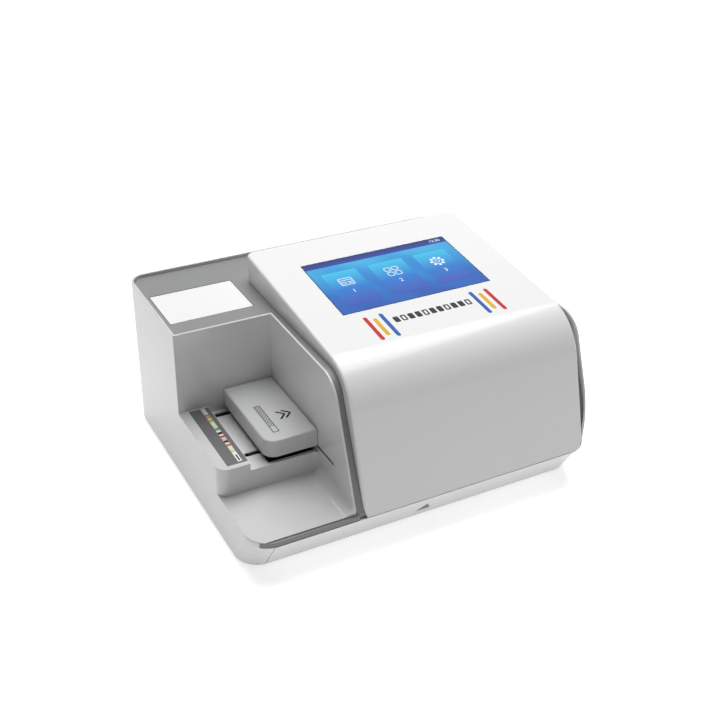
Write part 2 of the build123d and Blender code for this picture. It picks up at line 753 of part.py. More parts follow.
with BuildPart() as drawer_front:
    side_profile([(band_y(panel_low, 0), panel_low), (band_y(panel_high, 0), panel_high),
                  (band_y(panel_high, panel_depth), panel_high),
                  (band_y(panel_low, panel_depth), panel_low)],
                 seam_left + gap, seam_right - gap)
    for x in rib_x:
        side_profile([(band_y(drawer_z[0], panel_depth), drawer_z[0]),
                      (band_y(drawer_z[1], panel_depth), drawer_z[1]),
                      (drawer_y[0], drawer_z[1]), (drawer_y[0], drawer_z[0])],
                     x - rib_thickness / 2, x + rib_thickness / 2)
drawer_front.part.label = "drawer_front"
export_step(drawer_front.part, "parts/drawer_front.step")

with BuildPart() as drawer_box:
    block(drawer_x, drawer_y, drawer_z)
    block((drawer_x[0] + drawer_wall, drawer_x[1] - drawer_wall),
          (drawer_y[0] + drawer_wall, drawer_y[1] - drawer_wall),
          (drawer_z[0] + drawer_wall, drawer_z[1]), Mode.SUBTRACT)
    # striker for the push latch
    block((-striker_width / 2, striker_width / 2), (drawer_y[1], drawer_y[1] + striker_length),
          (base_top + 7.0, base_top + 11.0))
drawer_box.part.label = "drawer_box"
export_step(drawer_box.part, "parts/drawer_box.step")

# A loose liner tray stands in the drawer and is tipped out.
liner_gap = 1.0
liner_wall = 1.2
liner_x = (drawer_x[0] + drawer_wall + liner_gap, drawer_x[1] - drawer_wall - liner_gap)
liner_y = (drawer_y[0] + drawer_wall + liner_gap, drawer_y[1] - drawer_wall - liner_gap)
liner_z = (drawer_z[0] + drawer_wall, drawer_z[1] - 3.0)
with BuildPart() as drawer_liner:
    block(liner_x, liner_y, liner_z)
    block((liner_x[0] + liner_wall, liner_x[1] - liner_wall),
          (liner_y[0] + liner_wall, liner_y[1] - liner_wall),
          (liner_z[0] + liner_wall, liner_z[1]), Mode.SUBTRACT)
drawer_liner.part.label = "drawer_liner"
export_step(drawer_liner.part, "parts/drawer_liner.step")

with BuildPart() as drawer_runners:
    for side, x in ((1, chassis_x[0] + plate_thickness), (-1, chassis_x[1] - plate_thickness)):
        low, high = sorted((x, x + side * runner_wall))
        block((low, high), (drawer_y[0], drawer_y[1]), (base_top, base_top + drawer_height / 2))
        low, high = sorted((x + side * runner_wall, x + side * runner_flange))
        block((low, high), (drawer_y[0], drawer_y[1]), (base_top, base_top + runner_wall))
drawer_runners.part.label = "drawer_runners"
export_step(drawer_runners.part, "parts/drawer_runners.step")

# Push latch behind the drawer.
latch_size = (20.0, 22.0, 14.0)
latch_y = drawer_y[1] + runner_clearance
with BuildPart() as drawer_latch:
    block((-latch_size[0] / 2, latch_size[0] / 2), (latch_y, latch_y + latch_size[1]),
          (base_top, base_top + latch_size[2]))
    block((-striker_width / 2 - 0.8, striker_width / 2 + 0.8),
          (latch_y, latch_y + striker_length + 1.0), (base_top + 6.0, base_top + 12.0),
          Mode.SUBTRACT)
drawer_latch.part.label = "drawer_latch"
export_step(drawer_latch.part, "parts/drawer_latch.step")

# ---------------------------------------------------------------- strip loader
hood_x = (left + hood_left, cheek_inner - hood_clearance)
hood_y = (front + hood_front, block_y - hood_clearance)
hood_z = (bottom + hood_bottom, bottom + hood_bottom + hood_height)
hood_wall = 2.0
with BuildPart() as loader_hood:
    block(hood_x, hood_y, hood_z)
    corner = loader_hood.edges().filter_by(Axis.Z).sort_by_distance(
        (hood_x[0], hood_y[0], hood_z[0]))[0]
    fillet(corner, hood_corner)
    fillet(loader_hood.faces().sort_by(Axis.Z)[-1].edges(), 1.6)
    block((hood_x[0] + 8.0, hood_x[1] - 4.0), (hood_y[0] + 12.0, hood_y[1] - 4.0),
          (hood_z[0], hood_z[0] + 6.0), Mode.SUBTRACT)
loader_hood.part.label = "loader_hood"
export_step(loader_hood.part, "parts/loader_hood.step")

# Carriage under the bed; its legs come up through the two slots and carry the hood.
loader_rods_y = (front + 104.0, front + 150.0)
loader_z = bottom + 52.0
carriage_x = (left + 50.0, left + 88.0)
carriage_y = (front + 88.0, front + 167.0)
carriage_z = (loader_z - 6.5, loader_z + 6.5)
bush_radius = rod_radius + fit + bush_wall
leg_x = (left + slot_left + loader_travel + 1.0, carriage_x[1])
belt_y = front + 174.0
clamp_x = (left + 56.0, left + 66.0)
belt_top = loader_z + pulley_radius + belt_clearance + belt_thickness
with BuildPart() as loader_carriage:
    block(carriage_x, carriage_y, carriage_z)
    block((carriage_x[0] + 8.0, carriage_x[1] - 8.0), (carriage_y[0] + 26.0, carriage_y[1] - 26.0),
          carriage_z, Mode.SUBTRACT)
    for slot in (front_slot, back_slot):
        leg_y = (front + slot[0] + leg_clearance, front + slot[1] - leg_clearance)
        block(leg_x, leg_y, (carriage_z[1], hood_z[0]))
        block((leg_x[0], carriage_x[0]), leg_y, (carriage_z[1] - 4.0, carriage_z[1]))
    for y in loader_rods_y:
        round_bar((carriage_x[0], y, loader_z), (1, 0, 0), bush_radius,
                  carriage_x[1] - carriage_x[0], Mode.SUBTRACT)
    # arm over the belt's upper run
    block(clamp_x, (carriage_y[1], belt_y + pulley_width / 2), (belt_top + gap, belt_top + 1.7))
    block(clamp_x, (carriage_y[1] - 3.0, carriage_y[1]), (carriage_z[0], belt_top + 1.7))
loader_carriage.part.label = "loader_carriage"
export_step(loader_carriage.part, "parts/loader_carriage.step")

bush_length = 12.0
with BuildPart() as loader_bushes:
    for y in loader_rods_y:
        for x in (carriage_x[0], carriage_x[1] - bush_length):
            tube((x, y, loader_z), (1, 0, 0), bush_radius, rod_radius + fit, bush_length)
loader_bushes.part.label = "loader_bushes"
export_step(loader_bushes.part, "parts/loader_bushes.step")

loader_brackets_x = (left + 26.0, left + 90.5)
bracket_plate = 3.0
rod_reach = 2.5
loader_bracket_top = loader_z + 6.0
with BuildPart() as loader_brackets:
    for x in loader_brackets_x:
        block((x, x + bracket_plate), (carriage_y[0], carriage_y[1]),
              (chassis_top, loader_bracket_top))
    for y in loader_rods_y:
        round_bar((loader_brackets_x[0] - 1, y, loader_z), (1, 0, 0), rod_radius + fit / 2,
                  bay_width, Mode.SUBTRACT)
loader_brackets.part.label = "loader_brackets"
export_step(loader_brackets.part, "parts/loader_brackets.step")

# Plate behind the belt: motor on its rear face, idler pin on its front face.
loader_pulley_x = (left + 34.0, left + 78.0)
loader_plate_y = belt_y + pulley_width / 2 + 1.0
idler_pin_radius = 2.0
with BuildPart() as loader_motor_plate:
    block((loader_pulley_x[0] - 8.0, loader_pulley_x[1] + motor_size / 2),
          (loader_plate_y, loader_plate_y + plate_thickness),
          (chassis_top, loader_z + motor_size / 2))
    round_bar((loader_pulley_x[1], loader_plate_y, loader_z), (0, 1, 0), flange_radius,
              plate_thickness, Mode.SUBTRACT)
    round_bar((loader_pulley_x[0], loader_plate_y, loader_z), (0, -1, 0), idler_pin_radius,
              pulley_width + 1.5)
loader_motor_plate.part.label = "loader_motor_plate"
export_step(loader_motor_plate.part, "parts/loader_motor_plate.step")

shaft_engage = 10.0
with BuildPart() as loader_drive_pulley:
    pulley((loader_pulley_x[1], belt_y, loader_z), (0, 1, 0), pulley_radius, 1.0, pulley_width)
    round_bar((loader_pulley_x[1], belt_y - pulley_width / 2, loader_z), (0, 1, 0), shaft_radius,
              pulley_width + 1.0 + plate_thickness + shaft_engage)
loader_drive_pulley.part.label = "loader_drive_pulley"
export_step(loader_drive_pulley.part, "parts/loader_drive_pulley.step")

with BuildPart() as loader_idler_pulley:
    pulley((loader_pulley_x[0], belt_y, loader_z), (0, 1, 0), pulley_radius,
           idler_pin_radius + fit, pulley_width)
loader_idler_pulley.part.label = "loader_idler_pulley"
export_step(loader_idler_pulley.part, "parts/loader_idler_pulley.step")

with BuildPart() as loader_belt:
    belt_plane = Plane(origin=(sum(loader_pulley_x) / 2, belt_y, loader_z), x_dir=(1, 0, 0),
                       z_dir=(0, -1, 0))
    belt_loop(belt_plane, loader_pulley_x[1] - loader_pulley_x[0], pulley_radius,
              pulley_width - 2.6)
loader_belt.part.label = "loader_belt"
export_step(loader_belt.part, "parts/loader_belt.step")

# ---------------------------------------------------------------- strip feed
feed_shafts_x = (left + feed_left, left + feed_right)
feed_top = bottom + feed_bed_height
feed_z = feed_top - feed_roller_radius - belt_clearance - belt_thickness + 0.3
feed_plates_y = (front + feed_plate_front, front + feed_plate_rear)
feed_plate_x = (feed_shafts_x[0] - 8.0, feed_shafts_x[1] + 8.0)
belt_room = feed_roller_radius + belt_clearance + belt_thickness + 1.5
bed_x = (cheek_outer + 2.0, feed_shafts_x[1] + belt_room + 3.0)
feed_bed_y = (front + feed_bed_front, front + feed_bed_rear)
bed_thickness = 2.0
lane_clearance = 1.0
feed_journal = 2.4
with BuildPart() as feed_bed:
    block(bed_x, feed_bed_y, (feed_top - bed_thickness, feed_top))
    for lane in feed_lanes:
        block((feed_shafts_x[0] - belt_room, feed_shafts_x[1] + belt_room),
              (front + lane - feed_roller_width / 2 - lane_clearance,
               front + lane + feed_roller_width / 2 + lane_clearance),
              (feed_top - bed_thickness, feed_top), Mode.SUBTRACT)
feed_bed.part.label = "feed_bed"
export_step(feed_bed.part, "parts/feed_bed.step")

feed_motor_y = front + feed_motor_face
with BuildPart() as feed_plates:
    for y in feed_plates_y:
        block(feed_plate_x, (y, y + plate_thickness), (chassis_top, feed_top - bed_thickness))
        for x in feed_shafts_x:
            round_bar((x, y, feed_z), (0, 1, 0), feed_journal + fit, plate_thickness,
                      Mode.SUBTRACT)
    # motor plate
    block((feed_shafts_x[1] - motor_size / 2, feed_shafts_x[1] + motor_size / 2),
          (feed_motor_y, feed_motor_y + plate_thickness), (chassis_top, feed_z + motor_size / 2))
    round_bar((feed_shafts_x[1], feed_motor_y, feed_z), (0, 1, 0), shaft_radius + 2.0,
              plate_thickness, Mode.SUBTRACT)
feed_plates.part.label = "feed_plates"
export_step(feed_plates.part, "parts/feed_plates.step")


def feed_shaft(x, reach):
    """A feed shaft with its two rollers; it runs past the rear plate by a reach."""
    start = feed_plates_y[0] - 3.0
    round_bar((x, start, feed_z), (0, 1, 0), feed_journal,
              feed_plates_y[1] + plate_thickness + reach - start)
    for lane in feed_lanes:
        round_bar((x, front + lane - feed_roller_width / 2, feed_z), (0, 1, 0),
                  feed_roller_radius, feed_roller_width)


with BuildPart() as feed_drive_shaft:
    feed_shaft(feed_shafts_x[1], feed_motor_y + plate_thickness + shaft_engage
               - feed_plates_y[1] - plate_thickness)
feed_drive_shaft.part.label = "feed_drive_shaft"
export_step(feed_drive_shaft.part, "parts/feed_drive_shaft.step")

with BuildPart() as feed_idler_shaft:
    feed_shaft(feed_shafts_x[0], 3.0)
feed_idler_shaft.part.label = "feed_idler_shaft"
export_step(feed_idler_shaft.part, "parts/feed_idler_shaft.step")

with BuildPart() as feed_belts:
    for lane in feed_lanes:
        lane_plane = Plane(origin=(sum(feed_shafts_x) / 2, front + lane, feed_z),
                           x_dir=(1, 0, 0), z_dir=(0, -1, 0))
        belt_loop(lane_plane, feed_shafts_x[1] - feed_shafts_x[0], feed_roller_radius,
                  feed_roller_width - 2.0)
feed_belts.part.label = "feed_belts"
export_step(feed_belts.part, "parts/feed_belts.step")

# White reference tile at the rear of the bed, under the head's path.
tile_x = left + sum(head_rods) / 2
with BuildPart() as reference_tile:
    block((tile_x - 9.0, tile_x + 9.0), (feed_bed_y[1] - 8.0, feed_bed_y[1] - 1.0),
          (feed_top, feed_top + 1.5))
reference_tile.part.label = "reference_tile"
export_step(reference_tile.part, "parts/reference_tile.step")

# ---------------------------------------------------------------- reading head
rods_x = [left + x for x in head_rods]
head_z = bottom + head_height
head_y = (front + head_front, front + head_front + head_length)
head_x = (rods_x[0] - 9.0, rods_x[1] + 9.0)
head_shell_z = (bottom + head_bottom, bottom + head_top)
head_brackets_y = (front + head_bracket_front, front + head_bracket_rear)
lens_radius = 7.0
head_belt_x = rods_x[1] + 15.0
arm_y = (head_y[0] + 12.0, head_y[1] - 12.0)
head_belt_top = head_z + pulley_radius + belt_clearance + belt_thickness
head_pulley_y = (front + 49.0, front + 186.0)
head_plate_x = head_belt_x + pulley_width / 2 + 1.0
with BuildPart() as head_housing:
    block(head_x, head_y, head_shell_z)
    block((rods_x[0] + 8.0, rods_x[1] - 8.0), (head_y[0] + 4.0, head_y[1] - 4.0),
          (head_shell_z[0] + 6.0, head_shell_z[1]), Mode.SUBTRACT)
    round_bar((tile_x, sum(head_y) / 2, head_shell_z[0]), (0, 0, 1), lens_radius + fit, 6.0,
              Mode.SUBTRACT)
    for x in rods_x:
        round_bar((x, head_y[0], head_z), (0, 1, 0), bush_radius, head_length, Mode.SUBTRACT)
    block((head_x[1], head_belt_x + pulley_width / 2), arm_y,
          (head_belt_top + gap, head_belt_top + 2.2))
    block((head_x[1] - 3.0, head_x[1]), arm_y, (head_shell_z[1] - 4.0, head_belt_top + 2.2))
head_housing.part.label = "head_housing"
export_step(head_housing.part, "parts/head_housing.step")

with BuildPart() as head_lens:
    with BuildSketch(Plane.XZ.offset(-sum(head_y) / 2)) as lens_half:
        with Locations((tile_x, head_shell_z[0])):
            with Locations((lens_radius / 2, 3.0)):
                Rectangle(lens_radius, 6.0)
            with Locations((0, 12.0)):
                Circle(13.0, mode=Mode.INTERSECT)
    revolve(lens_half.sketch, Axis((tile_x, sum(head_y) / 2, 0), (0, 0, 1)))
head_lens.part.label = "head_lens"
export_step(head_lens.part, "parts/head_lens.step")

with BuildPart() as sensor_board:
    block((rods_x[0] + 8.0, rods_x[1] - 8.0), (head_y[0] + 4.0, head_y[1] - 4.0),
          (head_shell_z[0] + 6.0, head_shell_z[0] + 6.0 + board_thickness))
    block((tile_x - 5.0, tile_x + 5.0), (sum(head_y) / 2 - 5.0, sum(head_y) / 2 + 5.0),
          (head_shell_z[0] + 6.0 + board_thickness, head_shell_z[0] + 11.0))
sensor_board.part.label = "sensor_board"
export_step(sensor_board.part, "parts/sensor_board.step")

with BuildPart() as head_bushes:
    for x in rods_x:
        for y in (head_y[0], head_y[1] - bush_length):
            tube((x, y, head_z), (0, 1, 0), bush_radius, rod_radius + fit, bush_length)
head_bushes.part.label = "head_bushes"
export_step(head_bushes.part, "parts/head_bushes.step")

with BuildPart() as head_brackets:
    for y in head_brackets_y:
        block((head_x[0], head_plate_x), (y, y + bracket_plate), (chassis_top, head_z + 7.0))
    for x in rods_x:
        round_bar((x, head_brackets_y[0] - 1, head_z), (0, 1, 0), rod_radius + fit / 2,
                  head_brackets_y[1] - head_brackets_y[0] + 2 * bracket_plate, Mode.SUBTRACT)
head_brackets.part.label = "head_brackets"
export_step(head_brackets.part, "parts/head_brackets.step")

with BuildPart() as guide_rods:
    for x in rods_x:
        round_bar((x, head_brackets_y[0], head_z), (0, 1, 0), rod_radius,
                  head_brackets_y[1] + bracket_plate + rod_reach - head_brackets_y[0])
    for y in loader_rods_y:
        round_bar((loader_brackets_x[0] - rod_reach, y, loader_z), (1, 0, 0), rod_radius,
                  loader_brackets_x[1] - loader_brackets_x[0] + bracket_plate + 2 * rod_reach)
guide_rods.part.label = "guide_rods"
export_step(guide_rods.part, "parts/guide_rods.step")

# Plate across the two brackets, beside the belt: motor behind it, idler pin on its face.
with BuildPart() as head_belt_plate:
    block((head_plate_x, head_plate_x + plate_thickness),
          (head_brackets_y[0], head_brackets_y[1] + bracket_plate),
          (head_z - motor_size / 2, head_z + motor_size / 2))
    round_bar((head_plate_x, head_pulley_y[1], head_z), (1, 0, 0), flange_radius, plate_thickness,
              Mode.SUBTRACT)
    round_bar((head_plate_x, head_pulley_y[0], head_z), (-1, 0, 0), idler_pin_radius,
              pulley_width + 1.5)
head_belt_plate.part.label = "head_belt_plate"
export_step(head_belt_plate.part, "parts/head_belt_plate.step")

# Three alike stepper motors: loader, feed and head.
with BuildPart() as stepper_motors:
    motor_body((loader_pulley_x[1], loader_plate_y + plate_thickness, loader_z), (0, 1, 0),
               shaft_radius + fit)
    motor_body((feed_shafts_x[1], feed_motor_y + plate_thickness, feed_z), (0, 1, 0),
               feed_journal + fit)
    motor_body((head_plate_x + plate_thickness, head_pulley_y[1], head_z), (1, 0, 0),
               shaft_radius + fit)
stepper_motors.part.label = "stepper_motors"
export_step(stepper_motors.part, "parts/stepper_motors.step")

with BuildPart() as head_drive_pulley:
    pulley((head_belt_x, head_pulley_y[1], head_z), (1, 0, 0), pulley_radius, 1.0, pulley_width)
    round_bar((head_belt_x - pulley_width / 2, head_pulley_y[1], head_z), (1, 0, 0),
              shaft_radius, pulley_width + 1.0 + plate_thickness + shaft_engage)
head_drive_pulley.part.label = "head_drive_pulley"
export_step(head_drive_pulley.part, "parts/head_drive_pulley.step")

with BuildPart() as head_idler_pulley:
    pulley((head_belt_x, head_pulley_y[0], head_z), (1, 0, 0), pulley_radius,
           idler_pin_radius + fit, pulley_width)
head_idler_pulley.part.label = "head_idler_pulley"
export_step(head_idler_pulley.part, "parts/head_idler_pulley.step")

with BuildPart() as head_belt:
    head_plane = Plane(origin=(head_belt_x, sum(head_pulley_y) / 2, head_z), x_dir=(0, 1, 0),
                       z_dir=(1, 0, 0))
    belt_loop(head_plane, head_pulley_y[1] - head_pulley_y[0], pulley_radius, pulley_width - 2.6)
head_belt.part.label = "head_belt"
export_step(head_belt.part, "parts/head_belt.step")

# ---------------------------------------------------------------- thermal printer
hinge_y = door_y[1] - hinge_set
hinge_z = deck_top - hinge_drop
platen_y = door_y[0] + platen_set
platen_z = deck_top - platen_drop
printer_x = (left + printer_left, left + printer_right)
inner_x = (printer_x[0] + printer_wall, printer_x[1] - printer_wall)
arm_gap = 0.6
arm_width = 2.0
knuckle_width = 6.0
knuckle_x = (inner_x[0] + 4.0, inner_x[1] - 4.0 - knuckle_width)
knuckle_radius = hinge_pin_radius + 1.2
lug_radius = hinge_pin_radius + 0.6
arms_x = (inner_x[0] + arm_gap, inner_x[1] - arm_gap - arm_width)
with BuildPart() as paper_door:
    block(door_x, door_y, (deck_top - door_thickness, deck_top))
    for x in knuckle_x:
        round_bar((x, hinge_y, hinge_z), (1, 0, 0), knuckle_radius, knuckle_width)
        block((x, x + knuckle_width), (hinge_y - knuckle_radius, hinge_y + knuckle_radius),
              (hinge_z, deck_top - door_thickness))
        round_bar((x, hinge_y, hinge_z), (1, 0, 0), hinge_pin_radius + fit, knuckle_width,
                  Mode.SUBTRACT)
    for x in arms_x:
        block((x, x + arm_width), (platen_y - 3.6, platen_y + 3.6),
              (platen_z - 3.6, deck_top - door_thickness))
        round_bar((x, platen_y, platen_z), (1, 0, 0), platen_shaft_radius + fit, arm_width,
                  Mode.SUBTRACT)
paper_door.part.label = "paper_door"
export_step(paper_door.part, "parts/paper_door.step")

# Gear train on the frame's right wall: platen gear, idler and motor pinion.
gear_x = printer_x[1] + 0.4
idler_angle, pinion_angle = -80.0, -144.0
mesh_gap = 0.08
idler_reach = gear_module * (platen_teeth + idler_teeth) / 2 + mesh_gap
pinion_reach = gear_module * (idler_teeth + pinion_teeth) / 2 + mesh_gap
idler_y = platen_y + idler_reach * cos(radians(idler_angle))
idler_z = platen_z + idler_reach * sin(radians(idler_angle))
pinion_y = idler_y + pinion_reach * cos(radians(pinion_angle))
pinion_z = idler_z + pinion_reach * sin(radians(pinion_angle))
gear_bore = 1.2
idler_turn = idler_angle + 180.0
pinion_turn = pinion_angle + 180.0
tooth_step = 360.0 / idler_teeth
# the idler's tooth nearest the pinion decides where the pinion's gap has to be
idler_phase = ((pinion_angle - idler_turn) / tooth_step) % 1.0

# Printer frame: two walls, a trough for the roll, a flange under the deck and hinge lugs.
trough_radius = roll_radius + 0.8
roll_y, roll_z = front + roll_set, deck_top - roll_drop
frame_y = (pinion_y - printer_motor_radius - 1.0, hinge_y + lug_radius)
frame_top = deck_under - gap
flange_y = (block_y + wall + gap + 4.0, door_y[0] - door_reveal)
notch = platen_shaft_radius + 0.4
with BuildPart() as printer_frame:
    for x in (printer_x[0], inner_x[1]):
        block((x, x + printer_wall), frame_y, (roll_z - trough_radius - printer_wall, hinge_z))
        block((x, x + printer_wall), (frame_y[0], hinge_y - lug_radius / 2), (hinge_z, frame_top))
        round_bar((x, hinge_y, hinge_z), (1, 0, 0), lug_radius, printer_wall)
        round_bar((x, hinge_y, hinge_z), (1, 0, 0), hinge_pin_radius + fit, printer_wall,
                  Mode.SUBTRACT)
    # half-round trough
    with BuildSketch(Plane.YZ.offset(inner_x[0])) as trough:
        with Locations((roll_y, roll_z)):
            Circle(trough_radius + printer_wall)
            Circle(trough_radius, mode=Mode.SUBTRACT)
        with Locations((roll_y, roll_z + 2 * trough_radius)):
            Rectangle(6 * trough_radius, 4 * trough_radius, mode=Mode.SUBTRACT)
    extrude(trough.sketch, amount=inner_x[1] - inner_x[0])
    block(printer_x, flange_y, (frame_top - printer_wall, deck_under))
    # open notches for the platen's shaft, the motor's hole and the idler's stud
    for x in (printer_x[0], inner_x[1]):
        block((x, x + printer_wall), (platen_y - notch, platen_y + notch),
              (platen_z - notch, frame_top), Mode.SUBTRACT)
    round_bar((inner_x[1], pinion_y, pinion_z), (1, 0, 0), gear_bore + gap, printer_wall,
              Mode.SUBTRACT)
    round_bar((inner_x[1], idler_y, idler_z), (1, 0, 0), gear_bore,
              gear_x + gear_width - inner_x[1])
printer_frame.part.label = "printer_frame"
export_step(printer_frame.part, "parts/printer_frame.step")

with BuildPart() as door_hinge_pin:
    round_bar((printer_x[0] - 0.4, hinge_y, hinge_z), (1, 0, 0), hinge_pin_radius,
              printer_x[1] - printer_x[0] + 0.8)
door_hinge_pin.part.label = "door_hinge_pin"
export_step(door_hinge_pin.part, "parts/door_hinge_pin.step")

platen_gap = 0.6
roller_x = (arms_x[0] + arm_width + platen_gap, arms_x[1] - platen_gap)
with BuildPart() as platen_roller:
    round_bar((printer_x[0] - 0.4, platen_y, platen_z), (1, 0, 0), platen_shaft_radius,
              gear_x + gear_width - printer_x[0] + 0.4)
    round_bar((roller_x[0], platen_y, platen_z), (1, 0, 0), platen_radius,
              roller_x[1] - roller_x[0])
platen_roller.part.label = "platen_roller"
export_step(platen_roller.part, "parts/platen_roller.step")


def gear_plane(y, z):
    """A gear's plane on the right wall, drawn with Y across and Z up."""
    return Plane(origin=(gear_x, y, z), x_dir=(0, 1, 0), z_dir=(1, 0, 0))


with BuildPart() as platen_gear:
    gear(gear_plane(platen_y, platen_z), platen_teeth, platen_shaft_radius,
         idler_angle + 180.0 / platen_teeth)
platen_gear.part.label = "platen_gear"
export_step(platen_gear.part, "parts/platen_gear.step")

with BuildPart() as idler_gear:
    gear(gear_plane(idler_y, idler_z), idler_teeth, gear_bore + fit, idler_turn)
idler_gear.part.label = "idler_gear"
export_step(idler_gear.part, "parts/idler_gear.step")

with BuildPart() as motor_pinion:
    gear(gear_plane(pinion_y, pinion_z), pinion_teeth, gear_bore / 2,
         pinion_turn + (0.5 - (1.0 - idler_phase)) * 360.0 / pinion_teeth)
    round_bar((inner_x[1] - 4.0, pinion_y, pinion_z), (1, 0, 0), gear_bore,
              gear_x - inner_x[1] + 4.0 + gear_width)
motor_pinion.part.label = "motor_pinion"
export_step(motor_pinion.part, "parts/motor_pinion.step")

with BuildPart() as printer_motor:
    round_bar((inner_x[1], pinion_y, pinion_z), (-1, 0, 0), printer_motor_radius,
              printer_motor_length)
    round_bar((inner_x[1], pinion_y, pinion_z), (-1, 0, 0), gear_bore + fit, 6.0, Mode.SUBTRACT)
printer_motor.part.label = "printer_motor"
export_step(printer_motor.part, "parts/printer_motor.step")

# The print head hangs from the frame's flange and faces the platen.
head_thickness = 3.0
head_gap = 0.5
head_face_y = platen_y - platen_radius - head_gap
with BuildPart() as print_head:
    block(roller_x, (head_face_y - head_thickness, head_face_y),
          (platen_z - 6.0, frame_top - printer_wall))
    block(roller_x, (flange_y[0] + 6.0, head_face_y),
          (frame_top - 2 * printer_wall, frame_top - printer_wall))
print_head.part.label = "print_head"
export_step(print_head.part, "parts/print_head.step")

roll_x = sum(printer_x) / 2 - roll_width / 2
with BuildPart() as paper_roll:
    tube((roll_x, roll_y, roll_z), (1, 0, 0), roll_radius, roll_core_radius, roll_width)
paper_roll.part.label = "paper_roll"
export_step(paper_roll.part, "parts/paper_roll.step")

with BuildPart() as roll_core:
    tube((roll_x, roll_y, roll_z), (1, 0, 0), roll_core_radius, roll_core_radius - 1.5,
         roll_width)
roll_core.part.label = "roll_core"
export_step(roll_core.part, "parts/roll_core.step")

# ---------------------------------------------------------------- electronics and sockets
board_x = (left + board_left, left + board_left + board_length)
board_y = (front + board_front, rear - wall - 1.0)
posts_at = [(x, y) for x in (board_x[0] + 5.0, board_x[1] - 5.0)
            for y in (board_y[0] + 5.0, board_y[1] - 24.0)]
with BuildPart() as main_board:
    block(board_x, board_y, (board_low, board_top))
    for x, y, size in chips:
        block((board_x[0] + x, board_x[0] + x + size), (board_y[0] + y, board_y[0] + y + size),
              (board_top, board_top + 2.0))
    round_bar((board_x[0] + buzzer_at[0], board_y[0] + buzzer_at[1], board_top), (0, 0, 1),
              buzzer_radius, buzzer_height)
    for x, y in posts_at:
        round_bar((x, y, board_low), (0, 0, 1), screw_radius + fit, board_thickness, Mode.SUBTRACT)
main_board.part.label = "main_board"
export_step(main_board.part, "parts/main_board.step")

with BuildPart() as board_posts:
    for x, y in posts_at:
        round_bar((x, y, chassis_top), (0, 0, 1), 3.0, board_low - chassis_top)
        round_bar((x, y, board_low), (0, 0, 1), screw_radius, board_thickness)
        round_bar((x, y, board_top), (0, 0, 1), screw_head_radius, screw_head_height)
board_posts.part.label = "board_posts"
export_step(board_posts.part, "parts/board_posts.step")

socket_rear = rear - 0.4


def socket_body(x, z, size, length):
    """The block of a socket, from behind the rear panel into the case."""
    block((x - size[0] / 2, x + size[0] / 2), (socket_rear - length, socket_rear),
          (z - size[1] / 2, z + size[1] / 2))


usb_wall = 0.8
usb_mouth = (usb_size[0] - 2 * usb_wall, 5.2)
lan_mouth = (11.8, 8.2)
serial_pins = 5
pin_pitch = 2.77
pin_row = 2.84
# Sockets on the board: two USB in one shell, network, and nine-pin serial.
with BuildPart() as data_sockets:
    usb_z, lan_z, serial_z = (z for _, z, _ in sockets[2:])
    socket_body(usb_x, usb_z, usb_size, 18.0)
    for level in (-3.8, 3.8):
        middle = usb_z + level
        block((usb_x - usb_mouth[0] / 2, usb_x + usb_mouth[0] / 2),
              (socket_rear - 14.0, socket_rear),
              (middle - usb_mouth[1] / 2, middle + usb_mouth[1] / 2), Mode.SUBTRACT)
        block((usb_x - 5.6, usb_x + 5.6), (socket_rear - 14.0, socket_rear - 2.0),
              (middle + 0.2, middle + 2.0))
    socket_body(lan_x, lan_z, lan_size, 18.0)
    block((lan_x - lan_mouth[0] / 2, lan_x + lan_mouth[0] / 2),
          (socket_rear - 12.0, socket_rear),
          (lan_z - lan_mouth[1] / 2, lan_z + lan_mouth[1] / 2), Mode.SUBTRACT)
    socket_body(serial_x, serial_z, serial_size, 12.0)
    with BuildSketch(Plane.XZ.offset(-socket_rear)) as shell_mouth:
        with Locations((serial_x, serial_z)):
            Trapezoid(17.0, 8.4, 80)
        fillet(shell_mouth.vertices(), 1.5)
    extrude(shell_mouth.sketch, amount=6.0, mode=Mode.SUBTRACT)
    for row, count in ((-1, serial_pins), (1, serial_pins - 1)):
        for pin in range(count):
            x = serial_x + (pin - (count - 1) / 2) * pin_pitch
            round_bar((x, socket_rear - 6.0, serial_z + row * pin_row / 2), (0, 1, 0), 0.5, 5.0)
    for side in (-1, 1):
        round_bar((serial_x + side * 12.5, socket_rear, serial_z), (0, -1, 0), 1.4, 5.0,
                  Mode.SUBTRACT)
data_sockets.part.label = "data_sockets"
export_step(data_sockets.part, "parts/data_sockets.step")

inlet_bore = 3.2
with BuildPart() as power_inlet:
    socket_body(inlet_x, socket_z, inlet_size, 14.0)
    round_bar((inlet_x, socket_rear, socket_z), (0, -1, 0), inlet_bore, 10.0, Mode.SUBTRACT)
    round_bar((inlet_x, socket_rear - 10.0, socket_z), (0, 1, 0), 1.05, 9.0)
power_inlet.part.label = "power_inlet"
export_step(power_inlet.part, "parts/power_inlet.step")

# Rocker switch: a frame in the panel, a rocker on two short trunnions.
switch_wall = 1.5
rocker_y = rear - 4.2
trunnion = 1.2
switch_inner = (switch_size[0] / 2 - switch_wall, switch_size[1] / 2 - switch_wall)
with BuildPart() as switch_body:
    socket_body(switch_x, socket_z, switch_size, 14.0)
    block((switch_x - switch_inner[0], switch_x + switch_inner[0]),
          (socket_rear - 12.0, socket_rear),
          (socket_z - switch_inner[1], socket_z + switch_inner[1]), Mode.SUBTRACT)
    round_bar((switch_x, rocker_y, socket_z - switch_inner[1] - 0.8), (0, 0, 1),
              trunnion + fit, 2 * switch_inner[1] + 1.6, Mode.SUBTRACT)
switch_body.part.label = "switch_body"
export_step(switch_body.part, "parts/switch_body.step")

